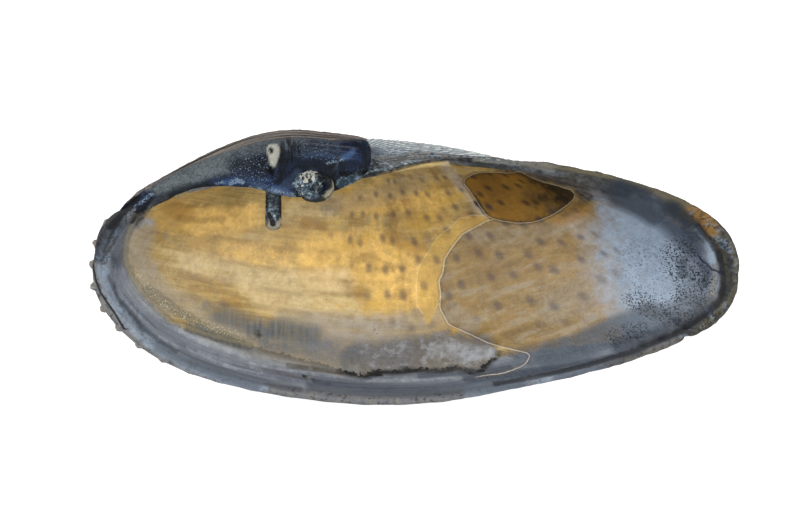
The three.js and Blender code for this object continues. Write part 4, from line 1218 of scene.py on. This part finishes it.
    # Masks that several paints show in.
    blotches, breaks, grains = ("mottle", 0.48, 0.68), ("breaks", 0.48, 0.36), ("grain", 0.52, 0.66)
    dark_threads, dots = ("fine_lines", 0.5, 0.64), ("from_dot", 0.3, 0.04)
    middle, front = ("x", -12.0, -5.0), ("x", -5.0, -9.0)
    in_sinus = ("field", "sinus", ("rearward", 21.0, 16.0))
    upper_rear = (("y", 1.0, 4.0), ("x", 8.0, 14.0))
    colour = painted(tree, values, "#6D737C", (
        ("#8E9297", 0.7, ("growth_bands", 0.46, 0.3)),
        ("#4A505E", 0.5, ("growth_bands", 0.46, 0.64)),
        ("#96989A", 0.22, ("fine_lines", 0.5, 0.36)),
        ("#3A3E48", 0.28, dark_threads),
        ("#8F8F90", 0.22, ("growth_lines", 0.5, 0.66)),
        (colours.tan, 1.0, "field"),
        ("#93794A", 0.5, "field", ("rearward", -14.0, -24.0)),
        (colours.amber, 0.4, "field", ("cloud", 0.42, 0.62)),
        ("#8F7343", 0.35, "field", ("row_streaks", 0.5, 0.62)),
        ("#CDB987", 0.5, "field", ("row_streaks", 0.5, 0.36)),
        ("#7E6238", 0.35, "field", ("row_threads", 0.5, 0.66)),
        ("#765A32", 0.4, "field", ("row_lines", 0.52, 0.68)),
        ("#CBB27A", 0.3, "field", ("row_threads", 0.5, 0.34)),
        ("#8A6C40", 0.25, "field", ("rib_streaks", 0.5, 0.66)),
        ("#8C8474", 0.35, "field", ("veil", 0.52, 0.66)),
        (colours.amber, 0.8, "stain_gold"),
        # Painted pools of light, bright yellow.
        ("#E8BE6C", 0.88, "stain_painted_light_pool"),
        ("#C8B388", 0.8, "stain_cream"),
        ("#6B4A1E", 0.4, "field", middle, ("cells", 0.5, 0.64)),
        ("#C79F42", 0.5, "field", middle, ("cells", 0.48, 0.36)),
        ("#7C6645", 0.74, *in_sinus),
        ("#6A5536", 0.38, *in_sinus, ("slant_streaks", 0.5, 0.66)),
        ("#A09886", 0.4, *in_sinus, ("slant_streaks", 0.5, 0.36)),
        ("#DCB25C", 0.35, "stain_dots", ("rib_streaks", 0.5, 0.38), ("x", 4.5, 1.0)),
        ("#83602E", 0.35, "stain_dots", ("rib_streaks", 0.5, 0.66)),
        ("#A39E9F", 0.75, "stain_mauve"),
        ("#8C877D", 0.7, "stain_haze"),
        (colours.pale_blue, 0.95, "field", ("rearward", 15.4, 20.6)),
        ("#5D6064", 0.85, "layer"),
        ("#4F4D50", 0.45, "layer", breaks),
        ("#8E9197", 0.55, "layer", blotches),
        ("#5A4630", 0.6, "layer", grains),
        ("#6E6A66", 0.5, "rim_share"),
        ("#3F3C33", 0.9, "rim_share", ("rearward", 22.0, 25.0)),
        ("#47433A", 0.75, *upper_rear, "rim_share"),
        ("#7B7767", 0.4, "rim_share", blotches),
        ("#211F1B", 0.6, "rim_share", breaks),
        ("#946C2C", 0.75, "stain_rust"),
        ("#5F4624", 0.6, "stain_stripes", ("cells", 0.32, 0.6)),
        ("#C09A4C", 0.6, "strip"),
        (colours.scar, 0.97, "scar"),
        ("#815C1C", 0.85, "scar", ("scar_at", 15.4, 11.6)),
        ("#4E340E", 0.5, "scar", ("cloud", 0.42, 0.62)),
        ("#120B05", 0.97, "scar", ("scar_at", 13.8, 17.2)),
        ("#2E1C08", 0.75, "scar", dots),
        ("#8A9AAC", 0.75, "stain_pale_blue"),
        ("#4E5B63", 0.95, "dorsal"),
        ("#1A2026", 0.75, "dorsal", dark_threads),
        ("#B6BEC2", 0.8, "dorsal", ("dashes", 0.5, 0.58)),
        ("#93989D", 0.65, "stain_silver"),
        ("#645F4E", 0.75, "stain_ochre"),
        ("#575039", 0.8, "stain_olive"),
        ("#3A3022", 0.8, "stain_brown"),
        ("#191E20", 0.94, "stain_teal"),
        ("#454F5A", 0.8, "stain_slate"),
        ("#2E363D", 0.32, "stain_slate", front, ("upright", 0.5, 0.62)),
        ("#828584", 0.18, "stain_slate", front, ("upright", 0.5, 0.38)),
        (colours.navy, 0.85, "stain_navy"),
        ("#D6CCAA", 0.65, "stain_sand", grains),
        ("#3F3A40", 0.6, dots, "stain_dots"),
        ("#73869A", 0.5, "stain_crinkled", blotches),
        ("#1A2028", 0.65, "stain_crinkled", breaks),
        ("#121519", 0.85, "stain_crinkled", ("vein_at", 0.03, 0.008)),
        # Painted shadow in the gap under the edge of the flaked layer.
        ("#100D0A", 0.9, "below_layer", ("ragged_far", -0.75, -0.1), "layer_cover"),
        ("#2E2A26", 0.35, "front_ridge_shade"),
        ("#857D66", 0.5, "front_ridge"),
        ("#0E1014", 0.95, ("speck_level", 0.69, 0.73), "stain_specks"),
        # Black marks, partly painted shadow in gaps, pits and along the rear step.
        ("#0B0C0F", 0.95, "stain_black_and_shadow"),
        ("#0E0F12", 0.95, "outer_groove"),
        ("#22252E", 0.5, "front_groove"),
        # Painted shade along the rear groove, where the wall steps down inside the rim.
        ("#12141A", 0.7, "rear_groove"),
        ("#0F1430", 0.9, "crack"),
        ("#2A2014", 0.45, "scar_shade"),
        ("#4A3A20", 0.3, "sinus_shade"),
        ("#D2CCC0", 0.3, "sinus_line"),
        ("#D2CCC0", 0.36, "sinus_line", ("y", 5.5, 0.0)),
        ("#DCCB9C", 0.4, "strip_line"),
        ("#C6BCA2", 0.5, "scar_line"),
    ))

    roughness = add(tree, "MapRange", {"Value": values["mottle"], **NOISE_RANGE, "To Min": 0.3, "To Max": 0.5})
    for name in ("layer", "rim_share"):
        roughness = add(
            tree, "Math", {0: values[name], 1: 0.3, 2: roughness}, operation="MULTIPLY_ADD", use_clamp=True
        )
    height = add(tree, "Math", {0: values["grain"], 1: 0.35, 2: values["breaks"]}, operation="MULTIPLY_ADD")
    lined = add(
        tree, "Math", {0: values["growth_lines"], 1: values["rim_share"], 2: height}, operation="MULTIPLY_ADD"
    )
    shades = ("grain", 0.92, 1.07), ("mottle", 0.84, 1.14), ("breaks", 0.9, 1.09)
    finish_layer(tree, values, colour, shades, roughness, specular=0.28, height=lined, bump=0.6, relief=0.14)
    return material


def outer_layer(colours):
    """Aragonite, the chalky outer layer, unglazed: white on the scales, blue-grey silt between them."""
    material, tree, values = start_layer("aragonite_outer_layer_chalky")
    growth = add(tree, "UVMap", uv_map="growth")
    rib = add(tree, "SeparateXYZ", {0: growth})
    for name in ("crest", "rim", "dorsal", "depth"):
        values[name] = add(tree, "Attribute", out="Fac", attribute_name=name)
    values.update(growth=growth, along_rim=add(tree, "CombineXYZ", {0: values["rim"], 1: rib}))
    lay_patterns(tree, values, (
        ("stain", "mm", 0.16, 4.0, 0.6),  # stains 6 mm wide
        ("blotch", "mm", 0.8, 4.0, 0.6),  # blotches of about 1 mm
        ("grain", "mm", 6.0, 3.0, 0.6),  # chalky grain, 0.15 mm
        ("lines", "growth", (0.25, 4.5), 3.0, 0.5),  # growth lines between the rows of scales
        ("gaps", "growth", (2.2, 1.1), 2.0, 0.5),  # gaps worn into the scales
        ("dashes", "along_rim", (4.4, 6.5), 3.0, 0.5),  # worn scale edges behind the hinge, 0.2 mm by 0.5 mm
    ))
    gap = add(tree, "MapRange", {"Value": values["gaps"], "From Min": 0.4, "From Max": 0.55})
    values["broken_crest"] = add(tree, "Math", {0: values["crest"], 1: gap}, operation="MULTIPLY")
    shallow, crest = ("depth", 1.6, 0.9), ("broken_crest", 0.15, 0.5)
    rim, strip = ("rim", 1.5, 0.5), ("dorsal", -0.7, -0.3)
    colour = painted(tree, values, "#98A0A3", (
        ("#A79F8C", 0.6, ("stain", 0.48, 0.62)),
        ("#7F878D", 0.5, ("blotch", 0.5, 0.66)),
        ("#5C6873", 0.75, ("crest", 0.3, 0.02)),
        ("#8A8F8F", 0.4, ("lines", 0.5, 0.68)),
        ("#5B5044", 0.85, rim, shallow),
        ("#36434F", 0.92, strip, shallow),
        ("#98A4B0", 0.8, strip, shallow, ("dashes", 0.5, 0.57)),
        (colours.chalk, 0.85, crest),
        ("#64594C", 0.9, rim, shallow, crest),
    ))
    height = add(tree, "Math", {0: values["lines"], 1: 1.6, 2: values["grain"]}, operation="MULTIPLY_ADD")
    finish_layer(tree, values, colour, (), 0.72, specular=0.3, height=height, bump=0.5, relief=0.12)
    return material


def fold_layer():
    """Aragonite, the folded plate, soaked dark blue; brown growth lines run along its free edge."""
    material, tree, values = start_layer("aragonite_fold_dark_blue_stained")
    values["growth"] = add(tree, "UVMap", uv_map="growth")
    lay_patterns(tree, values, (
        ("cloud", "mm", 0.35, 4.0, 0.6),  # stains 3 mm wide
        ("blotch", "mm", 1.3, 5.0, 0.65),  # blotches of 0.8 mm
        ("speck", "mm", 7.0, 3.0, 0.65),  # specks of 0.15 mm
        ("grain", "mm", 9.0, 3.0, 0.7),  # dust, 0.1 mm
        ("edge_lines", "growth", (0.06, 5.5), 4.0, 0.5),  # lines along the free edge, 0.2 mm apart
        ("stripes", "growth", (3.2, 0.4), 4.0, 0.5),  # stripes across the plate, 0.3 mm apart
    ))
    for name in FOLD_MARKS:
        values[name] = add(tree, "Attribute", out="Fac", attribute_name="mark_" + name)
    values["wedge"] = add(tree, "Attribute", out="Fac", attribute_name="wedge")
    # Distance from the free edge, 1 at the inner side of its band.
    values["from_edge"] = add(tree, "Attribute", out="Fac", attribute_name="crest")
    broken, fine_broken = (
        add(tree, "Math", {0: values[name], 1: 0.5}, operation="SUBTRACT") for name in ("blotch", "speck")
    )
    # Noise breaks up the marks' edges, painted shade and glints among them; the pale lip's and its glints' the most.
    both = add(tree, "Math", {0: fine_broken, 1: 1.5, 2: broken}, operation="MULTIPLY_ADD")
    for name in ("grey", "upper", "deep", "blue", "painted_blue_glint", "sheen", "pale_lip_and_glints"):
        wandering, thinnest = (1.9, 0.45) if name == "pale_lip_and_glints" else (0.7, 0.0)
        uneven = add(tree, "Math", {0: both, 1: wandering, 2: values[name]}, operation="MULTIPLY_ADD")
        kept = add(tree, "MapRange", {"Value": uneven, "From Min": thinnest, "From Max": 1.1})
        near = add(tree, "MapRange", {"Value": values[name], "From Min": 0.0, "From Max": 0.5})
        values[name] = add(tree, "Math", {0: kept, 1: near}, operation="MULTIPLY")
    values["edge_at"] = add(tree, "Math", {0: broken, 1: 0.5, 2: values["from_edge"]}, operation="MULTIPLY_ADD")
    values["vein_at"] = add(tree, "Math", {0: broken}, operation="ABSOLUTE")
    blotches, dust_and_glints, lines = ("blotch", 0.48, 0.64), ("grain", 0.54, 0.68), ("edge_lines", 0.5, 0.6)
    edge, edge_band = ("edge_at", 1.1, 0.9), ("edge_at", 1.6, 0.9)
    colour = painted(tree, values, "#151D2D", (
        ("#233147", 0.7, ("cloud", 0.44, 0.6)),
        ("#43515F", 0.42, blotches),
        ("#090D15", 0.78, ("blotch", 0.48, 0.34)),
        ("#3E4A5A", 0.8, "upper"),
        ("#626A6E", 0.95, "grey"),
        ("#8A9092", 0.3, "grey", dust_and_glints),
        ("#0E1219", 0.5, "speckled"),
        # Blue stain, partly painted reflection.
        ("#1E2E4E", 0.85, "blue"),
        ("#050910", 0.45, ("vein_at", 0.035, 0.01)),
        # Painted glints on the blue.
        ("#50678C", 0.45, "blue", dust_and_glints),
        # Painted shade in the fold's hollows.
        ("#090B10", 0.85, "deep"),
        ("#06080C", 0.8, "striped", ("stripes", 0.5, 0.58)),
        ("#55545C", 0.6, "edge_lined", lines),
        ("#263540", 0.8, "lobe"),
        ("#7F95A3", 0.6, "lobe", blotches),
        ("#7C92AA", 0.85, "speckled", ("speck", 0.56, 0.68)),
        # Painted blue glints.
        ("#48648F", 0.75, "painted_blue_glint"),
        ("#40506A", 0.7, "sheen"),
        # Pale marks and painted glints.
        ("#8598AA", 0.75, "pale_lip_and_glints"),
        ("#5E5A58", 0.45, edge_band),
        ("#7B736E", 0.8, edge),
        ("#A39A8E", 0.75, edge, lines),
        ("#1E1814", 0.9, edge, ("edge_lines", 0.48, 0.38)),
        ("#2A221C", 0.8, ("from_edge", 0.28, 0.12)),
        ("#A9A89E", 0.95, "wedge"),
        # Painted shade in the pits.
        ("#040506", 0.97, "shaded_pit"),
    ))
    roughness = add(tree, "MapRange", {"Value": values["blotch"], **NOISE_RANGE, "To Min": 0.32, "To Max": 0.6})
    dull = add(tree, "Math", {0: values["grey"], 1: 0.25, 2: roughness}, operation="MULTIPLY_ADD", use_clamp=True)
    height = values["speck"]
    for ridges, where in (("edge_lines", edge_band), ("stripes", "striped")):
        height = add(tree, "Math", {0: values[ridges], 1: values[where], 2: height}, operation="MULTIPLY_ADD")
    shades = ("grain", 0.8, 1.16), ("speck", 0.84, 1.14)
    finish_layer(tree, values, colour, shades, dull, specular=0.12, height=height, bump=0.6, relief=0.2)
    return material


def tooth_layer():
    """Aragonite of the hinge tooth, porous and worn: teal-blue silt with chalky white crests."""
    material, tree, values = start_layer("aragonite_tooth_porous")
    lay_patterns(tree, values, (
        ("blotch", "mm", 1.5, 4.0, 0.65),  # blotches of 0.7 mm
        ("pore", "mm", 3.2, 3.0, 0.65),  # pores of 0.3 mm
        ("grain", "mm", 10.0, 3.0, 0.65),  # grain, 0.1 mm
    ))
    for name in TOOTH_MARKS:
        values[name] = add(tree, "Attribute", out="Fac", attribute_name="mark_" + name)
    pore_wander = add(tree, "Math", {0: values["pore"], 1: 0.5}, operation="SUBTRACT")
    values["chalk_at"] = add(tree, "Math", {0: pore_wander, 1: 3.4, 2: values["chalk"]}, operation="MULTIPLY_ADD")
    colour = painted(tree, values, "#3A4A57", (
        ("#1A2431", 0.85, ("blotch", 0.46, 0.6)),
        ("#8C9BA4", 0.8, ("pore", 0.48, 0.62)),
        ("#080A0E", 0.9, ("pore", 0.45, 0.37)),
        ("#BAB9AE", 0.85, ("chalk_at", 0.62, 0.88)),
        ("#A0957A", 0.9, "tan"),
        # Dark stain and painted shadow.
        ("#050608", 0.92, "dark"),
    ))
    height = add(tree, "Math", {0: values["grain"], 1: 0.5, 2: values["pore"]}, operation="MULTIPLY_ADD")
    finish_layer(tree, values, colour, (), 0.5, specular=0.28, height=height, bump=0.7, relief=0.2)
    return material


def studio_paper():
    """White paper sweep, matt."""
    material = bpy.data.materials.new("paper_white_matt")
    material.use_nodes = True
    tree = material.node_tree
    tree.nodes.clear()
    shader = add(tree, "BsdfPrincipled", {
        "Base Color": srgb("#FBFBFB"), "Roughness": 0.9, "Specular IOR Level": 0.1,
        "Emission Color": srgb("#FFFFFF"), "Emission Strength": 0.35,
    })
    add(tree, "OutputMaterial", {"Surface": shader})
    return material


# ---- Settings, operators and panel ----

COLOUR_RANGE = {"size": 3, "min": 0, "max": 1}
# The camera looks at this place, in mm, and the picture is as wide as asked at this height, in m.
VIEW_MIDDLE = (-1.29, 0.18)
VIEW_HEIGHT = 0.009


class ShellSizes(bpy.types.PropertyGroup):
    """Sizes of the valve's wall and ornament."""

    wall: bpy.props.FloatProperty(
        name="Wall", description="Wall thickness away from the edge", default=0.0009, min=0.0003, unit="LENGTH")
    edge_wall: bpy.props.FloatProperty(
        name="Edge wall", description="Wall thickness at the margin", default=0.0006, min=0.0002, unit="LENGTH")
    rib_height: bpy.props.FloatProperty(
        name="Rib height", description="How far a rib stands out", default=0.00022, min=0.0, unit="LENGTH")
    scale_height_front: bpy.props.FloatProperty(
        name="Front scales", description="How far scales stand out at the front end",
        default=0.0006, min=0.0, unit="LENGTH")
    scale_height_rear: bpy.props.FloatProperty(
        name="Rear scales", description="How far scales stand out at the rear end",
        default=0.00012, min=0.0, unit="LENGTH")


class ShellColours(bpy.types.PropertyGroup):
    """Main stains and the clean chalk."""

    tan: bpy.props.FloatVectorProperty(
        name="Tan", description="Ground colour of the hollow", default=srgb("#B39A60")[:3], subtype="COLOR",
        **COLOUR_RANGE)
    amber: bpy.props.FloatVectorProperty(
        name="Amber", description="Deep yellow stain", default=srgb("#B4904C")[:3], subtype="COLOR",
        **COLOUR_RANGE)
    scar: bpy.props.FloatVectorProperty(
        name="Scar", description="Brown of the rear muscle scar", default=srgb("#70521C")[:3], subtype="COLOR",
        **COLOUR_RANGE)
    pale_blue: bpy.props.FloatVectorProperty(
        name="Pale blue", description="Blue-grey of the rear end", default=srgb("#6F7C8D")[:3], subtype="COLOR",
        **COLOUR_RANGE)
    navy: bpy.props.FloatVectorProperty(
        name="Navy", description="Dark blue stain", default=srgb("#232C3A")[:3], subtype="COLOR",
        **COLOUR_RANGE)
    chalk: bpy.props.FloatVectorProperty(
        name="Chalk", description="White of the scales outside", default=srgb("#D6D7D2")[:3], subtype="COLOR",
        **COLOUR_RANGE)


class StageSettings(bpy.types.PropertyGroup):
    """Floor, light and camera."""

    light: bpy.props.FloatProperty(
        name="Light", description="Power of the left soft box", default=3.7, min=0.0, unit="POWER")
    sky: bpy.props.FloatProperty(
        name="Surroundings", description="Brightness of the white room", default=0.36, min=0.0)
    distance: bpy.props.FloatProperty(
        name="Camera height", description="Height of the camera over the floor", default=1.2, min=0.3, unit="LENGTH")
    view_width: bpy.props.FloatProperty(
        name="View width", description="Width of the picture at the shell", default=0.0736, min=0.02, unit="LENGTH")


class OBJECT_OT_shell_valve(bpy.types.Operator):
    """Builds the dish-shaped wall with its ribs, scales and stained hollow"""

    bl_idname = "object.shell_valve"
    bl_label = "Valve wall"

    def execute(self, context):
        colours = context.scene.shell_colours
        make_valve(context.scene.shell_sizes, [outer_layer(colours), inner_layer(colours)])
        return {"FINISHED"}


class OBJECT_OT_shell_fold(bpy.types.Operator):
    """Builds the plate that is folded outwards over the beak"""

    bl_idname = "object.shell_fold"
    bl_label = "Fold over the beak"

    def execute(self, context):
        make_fold([fold_layer()])
        return {"FINISHED"}


class OBJECT_OT_shell_hinge(bpy.types.Operator):
    """Builds the spoon-shaped tooth, its knob and the finger"""

    bl_idname = "object.shell_hinge"
    bl_label = "Hinge tooth and finger"

    def execute(self, context):
        material = tooth_layer()
        for make in (make_spoon, make_knob, make_finger):
            make([material])
        return {"FINISHED"}


class OBJECT_OT_shell_stage(bpy.types.Operator):
    """Lays the floor and sets the lights and the camera"""

    bl_idname = "object.shell_stage"
    bl_label = "Stage"

    def execute(self, context):
        scene = context.scene
        stage = scene.shell_stage
        bm = bmesh.new()
        bmesh.ops.create_grid(bm, x_segments=1, y_segments=1, size=1.5)
        mesh = bpy.data.meshes.new("floor")
        bm.to_mesh(mesh)
        bm.free()
        mesh.materials.append(studio_paper())
        floor = bpy.data.objects.new("floor", mesh)
        scene.collection.objects.link(floor)

        world = bpy.data.worlds.new("white_room")
        world.use_nodes = True
        world.node_tree.nodes.clear()
        glow = add(world.node_tree, "Background", {"Color": srgb("#FFFFFF"), "Strength": stage.sky})
        add(world.node_tree, "OutputWorld", {"Surface": glow})
        scene.world = world

        for name, place, size, power in (
            ("left_box", (-0.42, 0.2, 0.45), 0.4, stage.light),
            ("right_box", (0.42, -0.1, 0.45), 0.4, stage.light * 0.7),
        ):
            light = bpy.data.lights.new(name, "AREA")
            light.shape, light.size, light.energy = "SQUARE", size, power
            lamp = bpy.data.objects.new(name, light)
            lamp.location = place
            lamp.rotation_mode = "QUATERNION"
            lamp.rotation_quaternion = (-Vector(place)).to_track_quat("-Z", "Y")
            scene.collection.objects.link(lamp)

        view = bpy.data.cameras.new("camera")
        view.lens = view.sensor_width * (stage.distance - VIEW_HEIGHT) / stage.view_width
        view.clip_start, view.clip_end = 0.05, 10.0
        camera = bpy.data.objects.new("camera", view)
        camera.location = (VIEW_MIDDLE[0] * MM, VIEW_MIDDLE[1] * MM, stage.distance)
        scene.collection.objects.link(camera)
        scene.camera = camera
        scene.view_settings.view_transform = "Standard"
        return {"FINISHED"}


class VIEW3D_PT_shell(bpy.types.Panel):
    """Sizes, colours and pieces of the shell"""

    bl_idname = "VIEW3D_PT_shell"
    bl_label = "Piddock shell"
    bl_space_type = "VIEW_3D"
    bl_region_type = "UI"
    bl_category = "Shell"

    def draw(self, context):
        for group in (context.scene.shell_sizes, context.scene.shell_colours, context.scene.shell_stage):
            box = self.layout.box()
            for name in group.__annotations__:
                box.prop(group, name)
        for operator in OPERATORS:
            self.layout.operator(operator.bl_idname)


OPERATORS = (OBJECT_OT_shell_valve, OBJECT_OT_shell_fold, OBJECT_OT_shell_hinge, OBJECT_OT_shell_stage)
CLASSES = (ShellSizes, ShellColours, StageSettings, *OPERATORS, VIEW3D_PT_shell)


def register():
    """Adds the classes and the scene's settings."""
    for cls in CLASSES:
        bpy.utils.register_class(cls)
    bpy.types.Scene.shell_sizes = bpy.props.PointerProperty(type=ShellSizes)
    bpy.types.Scene.shell_colours = bpy.props.PointerProperty(type=ShellColours)
    bpy.types.Scene.shell_stage = bpy.props.PointerProperty(type=StageSettings)


def unregister():
    """Takes away the settings and the classes."""
    del bpy.types.Scene.shell_stage, bpy.types.Scene.shell_colours, bpy.types.Scene.shell_sizes
    for cls in reversed(CLASSES):
        bpy.utils.unregister_class(cls)


def main():
    """Builds the shell on its stage."""
    register()
    bpy.ops.object.shell_valve()
    bpy.ops.object.shell_fold()
    bpy.ops.object.shell_hinge()
    bpy.ops.object.shell_stage()


if __name__ == "__main__":
    main()
